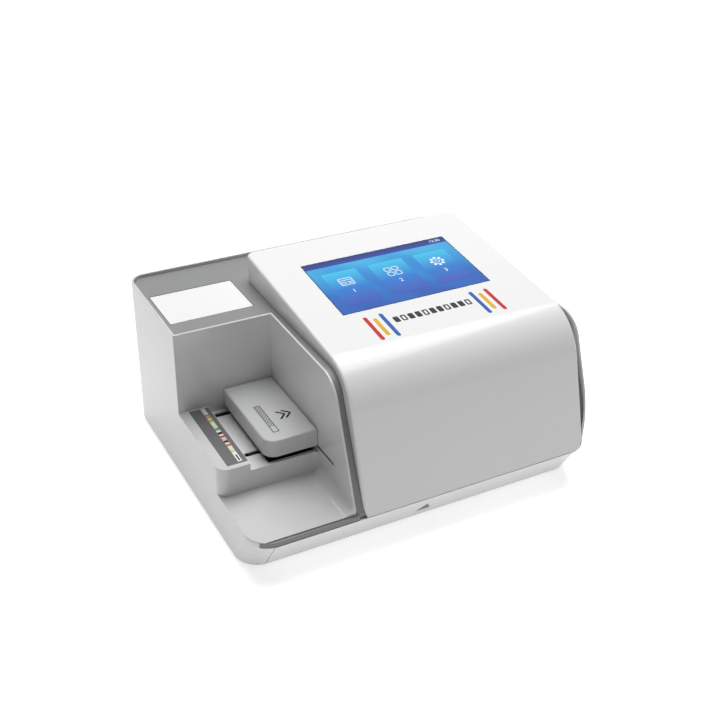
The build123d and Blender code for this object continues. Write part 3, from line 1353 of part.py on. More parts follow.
rocker_gap = 0.5
rocker_length = switch_inner[0] - rocker_gap - 0.4
with BuildPart() as power_rocker:
    with BuildSketch(Plane.XY.offset(socket_z - switch_inner[1] + rocker_gap)) as rocker_shape:
        with BuildLine():
            Polyline((switch_x - rocker_length, rocker_y - 1.0),
                     (switch_x - rocker_length, rocker_y + 3.3),
                     (switch_x, rocker_y + 1.9),
                     (switch_x + rocker_length, rocker_y + 1.9),
                     (switch_x + rocker_length, rocker_y - 1.0),
                     (switch_x, rocker_y - 4.0), close=True)
        make_face()
    extrude(rocker_shape.sketch, amount=2 * (switch_inner[1] - rocker_gap))
    round_bar((switch_x, rocker_y, socket_z - switch_inner[1] - 0.6), (0, 0, 1), trunnion,
              2 * switch_inner[1] + 1.2)
power_rocker.part.label = "power_rocker"
export_step(power_rocker.part, "parts/power_rocker.step")

# ---------------------------------------------------------------- fasteners
# Screws of the rear panel, the cover and the base, one group.
with BuildPart() as casing_screws:
    for x, z in panel_screws_at:
        round_bar((x, rear - wall / 2, z), (0, -1, 0), screw_radius, wall / 2 + 6.0)
        round_bar((x, rear - wall / 2, z), (0, 1, 0), screw_head_radius, wall / 2 - 0.1)
    for x in cover_boss_x:
        for y in cover_boss_y:
            seat = core_top(y + screw_head_radius) - core_wall
            round_bar((x, y, seat), (0, 0, 1), screw_radius, core_wall + gap + 6.0)
            round_bar((x, y, seat), (0, 0, -1), screw_head_radius, screw_head_height)
    for x, y in base_screws_at:
        round_bar((x, y, bottom), (0, 0, 1), screw_radius, base_thickness + 8.0)
        round_bar((x, y, bottom), (0, 0, -1), screw_head_radius, screw_head_height)
casing_screws.part.label = "casing_screws"
export_step(casing_screws.part, "parts/casing_screws.step")
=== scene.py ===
# %% [markdown]
# # A bench-top urine strip reader
#
# This lesson dresses a finished CAD model: the casing, the touch screen, the printed marks, the
# paper lid, the strip bay and the working parts inside. The CAD model is a fixed frame. It says
# where every piece is, and this script only adds surfaces, soft edges and small details to it.

# %% Load the frame
import json
import math

import bmesh
import bpy
from mathutils import Matrix, Vector


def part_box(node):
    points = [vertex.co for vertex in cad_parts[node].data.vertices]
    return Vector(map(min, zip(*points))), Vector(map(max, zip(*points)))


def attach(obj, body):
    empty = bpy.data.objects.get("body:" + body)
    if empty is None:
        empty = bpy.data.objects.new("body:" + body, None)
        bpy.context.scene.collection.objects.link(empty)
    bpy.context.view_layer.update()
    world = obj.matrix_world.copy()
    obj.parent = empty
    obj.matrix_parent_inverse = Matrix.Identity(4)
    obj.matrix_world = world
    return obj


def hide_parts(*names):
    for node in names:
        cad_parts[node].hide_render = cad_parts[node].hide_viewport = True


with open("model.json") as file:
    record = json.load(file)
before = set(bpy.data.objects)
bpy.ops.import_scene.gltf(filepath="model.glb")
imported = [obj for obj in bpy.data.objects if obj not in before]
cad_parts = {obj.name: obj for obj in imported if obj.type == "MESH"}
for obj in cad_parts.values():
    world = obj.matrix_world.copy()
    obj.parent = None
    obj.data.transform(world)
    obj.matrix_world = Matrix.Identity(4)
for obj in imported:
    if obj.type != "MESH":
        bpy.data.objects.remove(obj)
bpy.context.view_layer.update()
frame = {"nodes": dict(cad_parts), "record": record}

MM = 0.001
print("pieces in the frame:", len(frame["nodes"]))

# %% [markdown]
# ## Where things are
#
# The model stands with its origin under its middle. Sizes here are written from the front left
# corner of the body, as one would measure the real thing with a ruler: x to the right from the
# left face, y back from the front edge, z up from the underside of the body, which its feet lift
# a little. One function turns such a place into the frame's metres.

# %% Places
BODY = Vector((340.0, 296.0, 152.0)) * MM
FOOT = 3.0 * MM


def place(x, y, z):
    """A point measured in mm from the body's front left bottom corner, in the frame's metres."""
    return Vector((x * MM - BODY.x / 2, y * MM - BODY.y / 2, z * MM + FOOT))


COVER_TILT = math.radians(5.3)
COVER_POINT = place(0, 69.8, 160.7)
FILM = 0.06                  # thickness of a printed film, in mm
SHEET = FILM * MM
SKIN = 0.01                  # hair gap between a film and what it is printed on, in mm


def on_cover(x, y, lift=0.0):
    """A matrix that lays a flat sketch about the origin on the sloping cover, at x and y in mm."""
    point = place(x, y, 0)
    height = COVER_POINT.z + (point.y - COVER_POINT.y) * math.tan(COVER_TILT) + lift
    return Matrix.Translation((point.x, point.y, height)) @ Matrix.Rotation(COVER_TILT, 4, "X")


def flat_at(x, y, z, turn=0.0):
    """A matrix that lays a flat sketch level at a place in mm, turned about Z in degrees."""
    return Matrix.Translation(place(x, y, z)) @ Matrix.Rotation(math.radians(turn), 4, "Z")


print("cover plane passes", tuple(round(v, 4) for v in COVER_POINT))

# %% [markdown]
# ## The camera
#
# The camera stands at the front left, a little above the machine, and looks down at it. Its
# place and its three directions were solved from the edges of the body, whose sizes are known,
# so the picture has the same perspective as a product photograph with a short telephoto lens.

# %% Camera
eye = Vector((-0.4375, -0.8130, 0.6546))
right_hand = Vector((0.8839, -0.4672, 0.0182)).normalized()
ahead = Vector((0.4084, 0.7525, -0.5167)).normalized()
overhead = right_hand.cross(ahead).normalized()
camera = bpy.data.objects.new("camera", bpy.data.cameras.new("camera"))
camera.data.sensor_width = 36.0
camera.data.lens = 57.385    # a short telephoto on that sensor
basis = Matrix((right_hand, overhead, -ahead)).transposed().to_4x4()
camera.matrix_world = Matrix.Translation(eye) @ basis
bpy.context.collection.objects.link(camera)
bpy.context.scene.camera = camera
print("camera lens", round(camera.data.lens, 1), "mm")

# %% [markdown]
# ## Floor, backdrop and lamps
#
# A product picture has a white ground with no horizon. Turning the lamps up until the floor
# burns out would burn the object too. The floor is a light table instead, matte white with a
# weak light of its own that fills the undercut band from below. A little more of that light is
# seen only by the camera and by mirror-like rays. A shadow still shows, because the matte part
# darkens there. The world is split in the same way.


# %% Node helper
def add_node(tree, kind, inputs=None, **settings):
    """Adds a shader node, sets its own settings and its sockets, and links sockets given as such."""
    made = tree.nodes.new(kind)
    for name, value in settings.items():
        setattr(made, name, value)
    for name, value in (inputs or {}).items():
        if isinstance(value, bpy.types.NodeSocket):
            tree.links.new(value, made.inputs[name])
        else:
            made.inputs[name].default_value = value
    return made


def studio_rays(tree):
    """A socket that is 1 for camera, glossy and transmission rays and 0 for the others."""
    path = add_node(tree, "ShaderNodeLightPath")
    first = add_node(tree, "ShaderNodeMath", {0: path.outputs["Is Camera Ray"],
                     1: path.outputs["Is Glossy Ray"]}, operation="MAXIMUM")
    both = add_node(tree, "ShaderNodeMath", {0: first.outputs[0],
                    1: path.outputs["Is Transmission Ray"]}, operation="MAXIMUM")
    return both.outputs[0]


# %% World
AMBIENT = 0.06               # what the world gives to the object
world = bpy.data.worlds.new("studio")
bpy.context.scene.world = world
world.use_nodes = True
sky = world.node_tree
sky.nodes.clear()
ambient = add_node(sky, "ShaderNodeBackground", {"Color": (0.97, 0.98, 1.0, 1), "Strength": AMBIENT})
paper = add_node(sky, "ShaderNodeBackground", {"Color": (1, 1, 1, 1), "Strength": 1.0})
choice = add_node(sky, "ShaderNodeMixShader", {0: studio_rays(sky), 1: ambient.outputs[0],
                  2: paper.outputs[0]})
add_node(sky, "ShaderNodeOutputWorld", {"Surface": choice.outputs[0]})
bpy.context.scene.view_settings.view_transform = "Standard"
print("world:", AMBIENT, "on the object, 1.0 in the camera")

# %% Floor
FLOOR_WHITE = 0.95
FLOOR_GLOW = 0.34            # light table: what the floor gives to everything
FLOOR_LIFT = (0.30, 0.8)     # what it adds for the camera near the object and far away
LIFT_RANGE = (0.4, 1.2)      # metres from the middle over which that grows
FLOOR_HALF = 6.0
floor_paint = bpy.data.materials.new("studio_floor")
floor_paint.use_nodes = True
tree = floor_paint.node_tree
tree.nodes.clear()
matte = add_node(tree, "ShaderNodeBsdfDiffuse", {"Color": (FLOOR_WHITE, FLOOR_WHITE, FLOOR_WHITE, 1)})
glow = add_node(tree, "ShaderNodeEmission", {"Color": (1, 1, 1, 1)})
away = add_node(tree, "ShaderNodeVectorMath", {0: add_node(tree, "ShaderNodeTexCoord")
                .outputs["Object"]}, operation="LENGTH")
lift = add_node(tree, "ShaderNodeMapRange", {"Value": away.outputs["Value"], "From Min": LIFT_RANGE[0],
                "From Max": LIFT_RANGE[1], "To Min": FLOOR_LIFT[0], "To Max": FLOOR_LIFT[1]})
level = add_node(tree, "ShaderNodeMath", {0: studio_rays(tree), 1: lift.outputs["Result"],
                 2: FLOOR_GLOW}, operation="MULTIPLY_ADD")
tree.links.new(level.outputs[0], glow.inputs["Strength"])
both = add_node(tree, "ShaderNodeAddShader", {0: matte.outputs[0], 1: glow.outputs[0]})
add_node(tree, "ShaderNodeOutputMaterial", {"Surface": both.outputs[0]})

shape = bmesh.new()
bmesh.ops.create_grid(shape, x_segments=1, y_segments=1, size=FLOOR_HALF)
floor_mesh = bpy.data.meshes.new("floor")
shape.to_mesh(floor_mesh)
shape.free()
floor = bpy.data.objects.new("floor", floor_mesh)
floor_mesh.materials.append(floor_paint)
bpy.context.collection.objects.link(floor)
print("floor:", 2 * FLOOR_HALF, "m wide")


# %% [markdown]
# ## One large soft box
#
# The picture has broad, soft shading and no hard shadow: the cover's top is brightest, its front
# and the left side are a step darker, and the bay is darkest. One square soft box as wide as a
# table, high up behind the machine and to its right, gives this order of tones.


# %% Lamps
def lamp(name, spot, target, size, power):
    """A square soft box that looks from its spot to a target."""
    data = bpy.data.lights.new(name, "AREA")
    data.shape = "SQUARE"
    data.size = size
    data.energy = power
    made = bpy.data.objects.new(name, data)
    made.location = spot
    made.rotation_euler = (Vector(target) - Vector(spot)).to_track_quat("-Z", "Y").to_euler()
    bpy.context.collection.objects.link(made)
    return made


MIDDLE = (0, 0, 0.08)
BOX_SPOT = (0.25, 0.45, 1.90)
BOX_SIZE, BOX_POWER = 1.7, 41.5
lamp("overhead_box", BOX_SPOT, MIDDLE, BOX_SIZE, BOX_POWER)

# %% [markdown]
# ## Plastics
#
# Nearly all that shows is injection-moulded ABS. Up close such a part isn't one flat colour: the
# mould leaves a fine spark-eroded grain, and the resin varies a little in tone. Both come from
# noise on Object coordinates, which keeps its scale in millimetres on every piece. The grain is
# a bump of a few hundredths of a millimetre, and it varies the roughness too, so highlights break
# up as they do on the real surface.


# %% Moulded plastic
CLOUD = 14.0                 # the resin's tone drifts over about 70 mm
GLOSS_SPREAD = 0.18          # how far the grain moves the roughness up and down


def moulded(name, colour, roughness, grain=0.0006, depth=0.00002, tone=0.02, coat=0.0, specular=0.5):
    """Moulded plastic: a grain of one size and depth over a tone that varies slightly."""
    material = bpy.data.materials.new(name)
    material.use_nodes = True
    tree = material.node_tree
    shader = tree.nodes["Principled BSDF"]
    where = add_node(tree, "ShaderNodeTexCoord").outputs["Object"]
    pores = add_node(tree, "ShaderNodeTexNoise", {"Vector": where, "Scale": 1.0 / grain, "Detail": 2.0})
    cloud = add_node(tree, "ShaderNodeTexNoise", {"Vector": where, "Scale": CLOUD, "Detail": 3.0})
    low = [c * (1 - tone) for c in colour] + [1]
    high = [min(1.0, c * (1 + tone)) for c in colour] + [1]
    mix = add_node(tree, "ShaderNodeMix", {"Factor": cloud.outputs["Fac"], "A": low, "B": high},
                   data_type="RGBA")
    tree.links.new(mix.outputs["Result"], shader.inputs["Base Color"])
    rough = add_node(tree, "ShaderNodeMapRange", {"Value": pores.outputs["Fac"],
                     "To Min": roughness * (1 - GLOSS_SPREAD),
                     "To Max": min(1.0, roughness * (1 + GLOSS_SPREAD))})
    tree.links.new(rough.outputs["Result"], shader.inputs["Roughness"])
    bump = add_node(tree, "ShaderNodeBump", {"Height": pores.outputs["Fac"], "Distance": depth,
                    "Strength": 1.0})
    tree.links.new(bump.outputs["Normal"], shader.inputs["Normal"])
    shader.inputs["Specular IOR Level"].default_value = specular
    shader.inputs["Coat Weight"].default_value = coat
    shader.inputs["Coat Roughness"].default_value = 0.08
    return material


# %% [markdown]
# ## Metals
#
# The working parts are plain engineering stock: zinc-plated sheet with its cloudy spangle, ground
# round bar with fine lines, sintered bronze bushes and turned pulleys. All are one Principled
# shader with full metallic, and a voronoi or noise pattern moves both tone and roughness.


# %% Metals
def metal(name, colour, roughness, pattern, scale, contrast, stretch=(1, 1, 1)):
    """A metal whose tone and roughness follow a voronoi spangle or a stretched noise."""
    material = bpy.data.materials.new(name)
    material.use_nodes = True
    tree = material.node_tree
    shader = tree.nodes["Principled BSDF"]
    where = add_node(tree, "ShaderNodeTexCoord").outputs["Object"]
    mapping = add_node(tree, "ShaderNodeMapping", {"Vector": where, "Scale": stretch})
    kind = "ShaderNodeTexVoronoi" if pattern == "spangle" else "ShaderNodeTexNoise"
    source = add_node(tree, kind, {"Vector": mapping.outputs[0], "Scale": scale})
    value = source.outputs["Distance"] if pattern == "spangle" else source.outputs["Fac"]
    low = [c * (1 - contrast) for c in colour] + [1]
    mix = add_node(tree, "ShaderNodeMix", {"Factor": value, "A": low, "B": list(colour) + [1]},
                   data_type="RGBA")
    tree.links.new(mix.outputs["Result"], shader.inputs["Base Color"])
    rough = add_node(tree, "ShaderNodeMapRange", {"Value": value, "To Min": roughness * 0.8,
                     "To Max": roughness * 1.25})
    tree.links.new(rough.outputs["Result"], shader.inputs["Roughness"])
    shader.inputs["Metallic"].default_value = 1.0
    return material


# %% [markdown]
# ## Circuit board
#
# Solder mask is a green lacquer over copper. The copper tracks shine through as paler lines in
# straight runs, which the brick texture gives with its mortar, and they stand up a little.


# %% Circuit board
def board_finish(name):
    """Green solder mask with copper tracks showing through as paler lines."""
    material = bpy.data.materials.new(name)
    material.use_nodes = True
    tree = material.node_tree
    shader = tree.nodes["Principled BSDF"]
    where = add_node(tree, "ShaderNodeTexCoord").outputs["Object"]
    cells = add_node(tree, "ShaderNodeTexBrick", {"Vector": where, "Scale": 160.0,
                     "Color1": (0.02, 0.17, 0.07, 1), "Color2": (0.03, 0.20, 0.09, 1),
                     "Mortar": (0.06, 0.34, 0.15, 1), "Mortar Size": 0.045})
    tree.links.new(cells.outputs["Color"], shader.inputs["Base Color"])
    bump = add_node(tree, "ShaderNodeBump", {"Height": cells.outputs["Fac"], "Distance": 0.00003})
    tree.links.new(bump.outputs["Normal"], shader.inputs["Normal"])
    shader.inputs["Roughness"].default_value = 0.35
    return material


# %% [markdown]
# ## Wound paper
#
# The end of a paper roll shows hundreds of fine rings about its axis. A ring wave texture gives
# them, once a Mapping node has moved its centre onto the roll's axis.


# %% Wound paper
def paper_finish(name, centre):
    """White paper whose wound edges show as fine rings about the roll's axis."""
    material = bpy.data.materials.new(name)
    material.use_nodes = True
    tree = material.node_tree
    shader = tree.nodes["Principled BSDF"]
    where = add_node(tree, "ShaderNodeTexCoord").outputs["Object"]
    centred = add_node(tree, "ShaderNodeMapping", {"Vector": where, "Location": [-c for c in centre]})
    rings = add_node(tree, "ShaderNodeTexWave", {"Vector": centred.outputs[0], "Scale": 320.0,
                     "Distortion": 0.6}, wave_type="RINGS", rings_direction="X")
    mix = add_node(tree, "ShaderNodeMix", {"Factor": rings.outputs["Fac"], "A": (0.80, 0.80, 0.77, 1),
                   "B": (0.92, 0.92, 0.90, 1)}, data_type="RGBA")
    tree.links.new(mix.outputs["Result"], shader.inputs["Base Color"])
    shader.inputs["Roughness"].default_value = 0.85
    return material


# %% [markdown]
# ## One finish for each slot of the record
#
# The CAD model names a material slot for every piece. A table from slot to finish dresses all of them
# at once, and some pieces made further down take theirs from the same table.

# %% Finishes
roll_low, roll_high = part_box("paper_roll")
roll_centre = [(a + b) / 2 for a, b in zip(roll_low, roll_high)]
finishes = {
    "casing_light_grey": moulded("casing_light_grey", (0.71, 0.712, 0.716), 0.13, depth=0.000005),
    "cover_white": moulded("cover_white", (0.90, 0.90, 0.90), 0.26, depth=0.000008, tone=0.006,
                           coat=0.25),
    "core_dark_grey": moulded("core_dark_grey", (0.235, 0.238, 0.242), 0.40),
    "hood_grey": moulded("hood_grey", (0.57, 0.575, 0.58), 0.26),
    "door_white": moulded("door_white", (0.90, 0.90, 0.90), 0.35, tone=0.006),
    "display": moulded("display", (0.01, 0.01, 0.012), 0.20),
    "tray_plastic": moulded("tray_plastic", (0.58, 0.59, 0.60), 0.45),
    "black_plastic": moulded("black_plastic", (0.025, 0.025, 0.027), 0.42),
    "steel_sheet": metal("steel_sheet", (0.60, 0.61, 0.63), 0.38, "spangle", 90.0, 0.25),
    "steel_bar": metal("steel_bar", (0.66, 0.66, 0.67), 0.24, "lines", 600.0, 0.18),
    "pulley_aluminium": metal("pulley_aluminium", (0.75, 0.75, 0.77), 0.30, "lines", 900.0, 0.15),
    "bush_brass": metal("bush_brass", (0.60, 0.44, 0.20), 0.40, "lines", 1500.0, 0.30),
    "rubber_black": moulded("rubber_black", (0.022, 0.022, 0.022), 0.75, tone=0.1),
    "motor_black": moulded("motor_black", (0.02, 0.02, 0.022), 0.38, grain=0.0003),
    "circuit_green": board_finish("circuit_green"),
    "paper_white": paper_finish("paper_white", roll_centre),
    "tile_white": moulded("tile_white", (0.92, 0.92, 0.90), 0.15, tone=0.01),
    "screen_glass": moulded("screen_glass", (0.01, 0.015, 0.03), 0.07, depth=0.0, tone=0.1),
    "lens_glass": moulded("lens_glass", (0.30, 0.34, 0.38), 0.05, depth=0.0, coat=1.0),
}
slot_of = {s["node"]: s["material_slot"] for s in frame["record"]["subparts"]}
for name, item in frame["nodes"].items():
    item.data.materials.clear()
    item.data.materials.append(finishes[slot_of[name]])
print("finishes:", len(finishes))

# %% [markdown]
# ## Softened edges
#
# A mould never makes a knife edge, and the thin bright line that such a small round catches is
# what makes a casing look real. The CAD solids are sharp there. Each visible shell is copied, its
# loose triangles are merged back into flat faces, and every edge sharper than a limit gets a
# narrow bevel. The copy then stands for the CAD piece.


# %% Softened copies
WELD = 0.002 * MM            # corners nearer than this are one
FLAT = math.radians(0.8)     # faces that turn less than this are one


def owner(node):
    """The name of the body that a CAD node belongs to."""
    bodies = frame["record"]["behaviour"]["bodies"]
    return next(body for body, members in bodies.items() if node in members)


def finish_piece(name, shape, material, body, smooth_angle=34.0):
    """Turns a bmesh into a piece of the scene that rides on a body."""
    mesh = bpy.data.meshes.new(name)
    shape.normal_update()
    shape.to_mesh(mesh)
    shape.free()
    for face in mesh.polygons:
        face.use_smooth = True
    mesh.set_sharp_from_angle(angle=math.radians(smooth_angle))
    made = bpy.data.objects.new(name, mesh)
    mesh.materials.append(material)
    bpy.context.collection.objects.link(made)
    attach(made, body)
    print(f"{name}: {len(mesh.polygons)} faces on {body}")
    return made


def softened(node, name, width, sharper_than=28.0, segments=2):
    """A copy of a CAD node with merged faces and narrow rounded edges, standing for the node."""
    shape = bmesh.new()
    shape.from_mesh(frame["nodes"][node].data)
    bmesh.ops.remove_doubles(shape, verts=shape.verts, dist=WELD)
    bmesh.ops.dissolve_limit(shape, angle_limit=FLAT, verts=shape.verts, edges=shape.edges)
    if width:
        limit = math.radians(sharper_than)
        edges = [e for e in shape.edges if len(e.link_faces) == 2 and e.calc_face_angle(0) > limit]
        bmesh.ops.bevel(shape, geom=edges, offset=width * MM, segments=segments, profile=0.5,
                        affect="EDGES", material=-1, clamp_overlap=False, loop_slide=True)
    low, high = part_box(node)
    for vert in shape.verts:
        vert.co = [min(max(c, a), b) for c, a, b in zip(vert.co, low, high)]
    made = finish_piece(name, shape, finishes[slot_of[node]], owner(node))
    weights = made.modifiers.new("weighted normals", "WEIGHTED_NORMAL")
    weights.keep_sharp = True
    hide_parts(node)
    return made


for node, name, width in (("left_shell", "left_casing", 0.45), ("right_shell", "right_casing", 0.45),
                          ("core_body", "inner_casing", 0.25), ("top_cover", "cover_shell", 0.25),
                          ("drawer_front", "drawer_panel", 0.35), ("paper_door", "paper_lid", 0.30),
                          ("loader_hood", "hood_shell", 0.30), ("rear_panel", "rear_grille", 0.25),
                          ("base_plate", "base_tray", 0.25)):
    softened(node, name, width)


# %% [markdown]
# ## Flat shapes
#
# The screen's picture, the stripes and the marks are thin flat films. All of them come from two
# sketches, a pad with rounded corners and a disc, and an inset leaves only the rim of either. A
# sketch is placed by a matrix and gathered into its film, and solidify gives all of them together
# their thickness.


# %% Sketches
def pad(width, length, corner, segments=6):
    """A flat rectangle about the origin, with rounded corners."""
    shape = bmesh.new()
    bmesh.ops.create_grid(shape, x_segments=1, y_segments=1, size=0.5)
    bmesh.ops.scale(shape, vec=(width, length, 1), verts=shape.verts)
    if corner:
        bmesh.ops.bevel(shape, geom=shape.verts, offset=corner, segments=segments, profile=0.5,
                        affect="VERTICES", material=-1)
    return shape


def disc(radius, sides=32):
    """A flat disc about the origin."""
    shape = bmesh.new()
    bmesh.ops.create_circle(shape, cap_ends=True, segments=sides, radius=radius)
    return shape


def outline_of(shape, line):
    """Keeps only a rim of a flat shape, as wide as a line."""
    inner = bmesh.ops.inset_region(shape, faces=shape.faces, thickness=line, use_boundary=True,
                                   use_even_offset=True)
    rim = set(inner["faces"])
    bmesh.ops.delete(shape, geom=[f for f in shape.faces if f not in rim], context="FACES")
    return shape


def gather(target, shape, matrix):
    """Turns a flat sketch's faces up, places it by a matrix and adds it to a larger sketch."""
    for face in shape.faces:
        face.normal_update()
        if face.normal.z < 0:
            face.normal_flip()
    shape.transform(matrix)
    scratch = bpy.data.meshes.new("scratch")
    shape.to_mesh(scratch)
    shape.free()
    target.from_mesh(scratch)
    bpy.data.meshes.remove(scratch)


def film(name, parts, material, body="root", thickness=SHEET):
    """One thin closed film from several placed sketches, its lower face on their plane."""
    shape = bmesh.new()
    for sketch, matrix in parts:
        gather(shape, sketch, matrix)
    bmesh.ops.solidify(shape, geom=shape.faces, thickness=-thickness)
    bmesh.ops.recalc_face_normals(shape, faces=shape.faces)
    return finish_piece(name, shape, material, body)


# %% [markdown]
# ## The picture on the screen
#
# A display gives off its own light, so its picture is an emission that renders as it is written,
# under a glossy black face that still mirrors the studio. The picture is a gradient from cyan at
# the back to royal blue at the front, with two soft waves, and it is worked out from how far a
# point is along the glass.


# %% Glowing picture
SCREEN = {"left": 139.3, "right": 293.5, "front": 116.6, "rear": 205.1}
DARK_GLASS = (0.004, 0.006, 0.012, 1)
GLASS_GLOSS = {"Roughness": 0.16, "Specular IOR Level": 0.15}


def glowing(name, stops, front, rear, waves=0.0, strength=1.0):
    """A lit picture: a colour ramp from front to rear, in mm, with soft slanted waves over it."""
    material = bpy.data.materials.new(name)
    material.use_nodes = True
    tree = material.node_tree
    shader = tree.nodes["Principled BSDF"]
    where = add_node(tree, "ShaderNodeTexCoord").outputs["Object"]
    axes = add_node(tree, "ShaderNodeSeparateXYZ", {"Vector": where})
    share = add_node(tree, "ShaderNodeMapRange", {"Value": axes.outputs["Y"],
                     "From Min": place(0, front, 0).y, "From Max": place(0, rear, 0).y})
    ripple = add_node(tree, "ShaderNodeTexWave", {"Vector": where, "Scale": 9.0, "Distortion": 3.2,
                      "Detail": 1.0, "Detail Scale": 0.6}, bands_direction="DIAGONAL")
    push = add_node(tree, "ShaderNodeMath", {0: ripple.outputs["Fac"], 1: waves}, operation="MULTIPLY")
    total = add_node(tree, "ShaderNodeMath", {0: share.outputs["Result"], 1: push.outputs[0]},
                     operation="ADD")
    ramp = add_node(tree, "ShaderNodeValToRGB", {"Fac": total.outputs[0]})
    points = ramp.color_ramp.elements
    while len(points) < len(stops):
        points.new(0.5)
    for point, (position, colour) in zip(points, stops):
        point.position = position
        point.color = (*colour, 1)
    tree.links.new(ramp.outputs["Color"], shader.inputs["Emission Color"])
    shader.inputs["Emission Strength"].default_value = strength
    shader.inputs["Base Color"].default_value = DARK_GLASS
    for socket, value in GLASS_GLOSS.items():
        shader.inputs[socket].default_value = value
    return material


def srgb(red, green, blue):
    """A colour given in the 0 to 255 values of a paint program, as the linear values of a shader."""
    values = (red / 255, green / 255, blue / 255)
    return tuple(v / 12.92 if v <= 0.04045 else ((v + 0.055) / 1.055) ** 2.4 for v in values)


picture = glowing("screen_picture", ((0.0, srgb(52, 88, 178)), (0.35, srgb(44, 112, 196)),
                  (0.75, srgb(54, 150, 216)), (1.0, srgb(70, 178, 228))),
                  SCREEN["front"], SCREEN["rear"], waves=0.16)
glass = softened("touch_glass", "screen_face", 0.15)
glass.data.materials.clear()
glass.data.materials.append(picture)

# %% [markdown]
# ## Bar, border and tiles
#
# The picture has a darker bar along its rear edge and three tiles with round corners. Each is a
# film of its own just above the glass, with its own glow, because a film has a clean edge at any
# distance, which a pattern in the material wouldn't have.

# %% Glows of the bar and the tiles
BAR = 9.5
TILES = ((149.0, 186.0), (197.5, 235.5), (246.6, 283.0))
TILE_FRONT, TILE_REAR = 129.0, 184.7
bar_glow = glowing("screen_bar", ((0.0, srgb(52, 74, 158)), (1.0, srgb(36, 50, 128))),
                   SCREEN["rear"] - BAR, SCREEN["rear"])
tile_glow = glowing("screen_tile", ((0.0, srgb(70, 92, 184)), (0.45, srgb(48, 124, 208)),
                    (1.0, srgb(66, 198, 236))), TILE_FRONT, TILE_REAR)
edge_glow = glowing("screen_tile_edge", ((0.0, srgb(66, 88, 176)), (1.0, srgb(58, 156, 214))),
                    TILE_FRONT, TILE_REAR)
white_glow = glowing("screen_white", ((0.0, (0.9, 0.95, 1.0)), (1.0, (0.9, 0.95, 1.0))),
                     SCREEN["front"], SCREEN["rear"])
print("screen:", round(SCREEN["right"] - SCREEN["left"], 1), "mm wide")

# %% Border and bar
GLASS_DROP = 0.3 * MM        # the glass lies this far under the cover
PICTURE = -GLASS_DROP + 0.02 * MM
INSET = 0.3                  # the films end this far inside the window, in mm
BORDER = 0.7 * MM
middle_x = (SCREEN["left"] + SCREEN["right"]) / 2
middle_y = (SCREEN["front"] + SCREEN["rear"]) / 2
screen_width = (SCREEN["right"] - SCREEN["left"] - 2 * INSET) * MM
screen_length = (SCREEN["rear"] - SCREEN["front"] - 2 * INSET) * MM
border = outline_of(pad(screen_width, screen_length, 0), BORDER)
film("screen_border", [(border, on_cover(middle_x, middle_y, PICTURE + SHEET))],
     finishes["display"])
bar_y = SCREEN["rear"] - BAR / 2 - INSET
film("screen_bar", [(pad(screen_width, BAR * MM, 0), on_cover(middle_x, bar_y, PICTURE))],
     bar_glow)

# %% Tiles
TILE_CORNER, TILE_LINE = 2.0 * MM, 0.5 * MM
tiles, edges = [], []
for left, right in TILES:
    centre = ((left + right) / 2, (TILE_FRONT + TILE_REAR) / 2)
    size = ((right - left) * MM, (TILE_REAR - TILE_FRONT) * MM)
    tiles.append((pad(*size, TILE_CORNER), on_cover(*centre, PICTURE)))
    edges.append((outline_of(pad(*size, TILE_CORNER), TILE_LINE),
                  on_cover(*centre, PICTURE + SHEET)))
film("screen_tiles", tiles, tile_glow)
film("screen_tile_edges", edges, edge_glow)

# %% [markdown]
# ## Icons
#
# Each tile carries a white line icon: a results table, four rounded squares and a gear. They are
# built from the same two sketches, all with one width of line, so they look like one set.

# %% Icon places
LINE = 0.75 * MM
ICON_Y = 166.0               # the middle of every icon
INK = PICTURE + SHEET


def spot(x, y, turn=0.0):
    """Where an icon's part goes on the cover, turned about its own middle in degrees."""
    return on_cover(x, y, INK) @ Matrix.Rotation(math.radians(turn), 4, "Z")


icons = []
table_x, petals_x, gear_x = ((left + right) / 2 for left, right in TILES)
print("icons stand at x", [round(x, 1) for x in (table_x, petals_x, gear_x)])

# %% Results table
icons.append((outline_of(pad(14 * MM, 12 * MM, 1.2 * MM), LINE), spot(table_x, ICON_Y)))
icons.append((pad(13 * MM, LINE, 0), spot(table_x, ICON_Y + 2.4)))
cell = outline_of(pad(4.4 * MM, 3.6 * MM, 0.6 * MM), LINE * 0.8)
icons.append((cell, spot(table_x - 3.2, ICON_Y - 2)))
for step in (-3.2, -1.2):
    icons.append((pad(5.0 * MM, LINE, 0), spot(table_x + 3.2, ICON_Y + step)))
print("sketches after the table:", len(icons))

# %% Four squares
PETAL, PETAL_CORNER, PETAL_STEP = 6.6 * MM, 1.8 * MM, 4.0
for x, y in ((-1, -1), (-1, 1), (1, -1), (1, 1)):
    icons.append((outline_of(pad(PETAL, PETAL, PETAL_CORNER), LINE),
                  spot(petals_x + x * PETAL_STEP, ICON_Y + y * PETAL_STEP)))
print("sketches after the squares:", len(icons))

# %% Gear
TEETH, TOOTH, TOOTH_RADIUS = 8, 2.6 * MM, 6.2
for radius in (5.4, 2.6):
    icons.append((outline_of(disc(radius * MM), LINE), spot(gear_x, ICON_Y)))
for tooth in range(TEETH):
    turn = 2 * math.pi * tooth / TEETH
    icons.append((pad(TOOTH, TOOTH, 0.5 * MM),
                  spot(gear_x + TOOTH_RADIUS * math.cos(turn), ICON_Y + TOOTH_RADIUS * math.sin(turn),
                       math.degrees(turn))))
film("screen_icons", icons, white_glow)

# %% [markdown]
# ## Numbers
#
# A plain number under each icon tells the tiles apart, and the bar shows a time of day. A number
# starts as a text curve, which is made a mesh before it is placed.


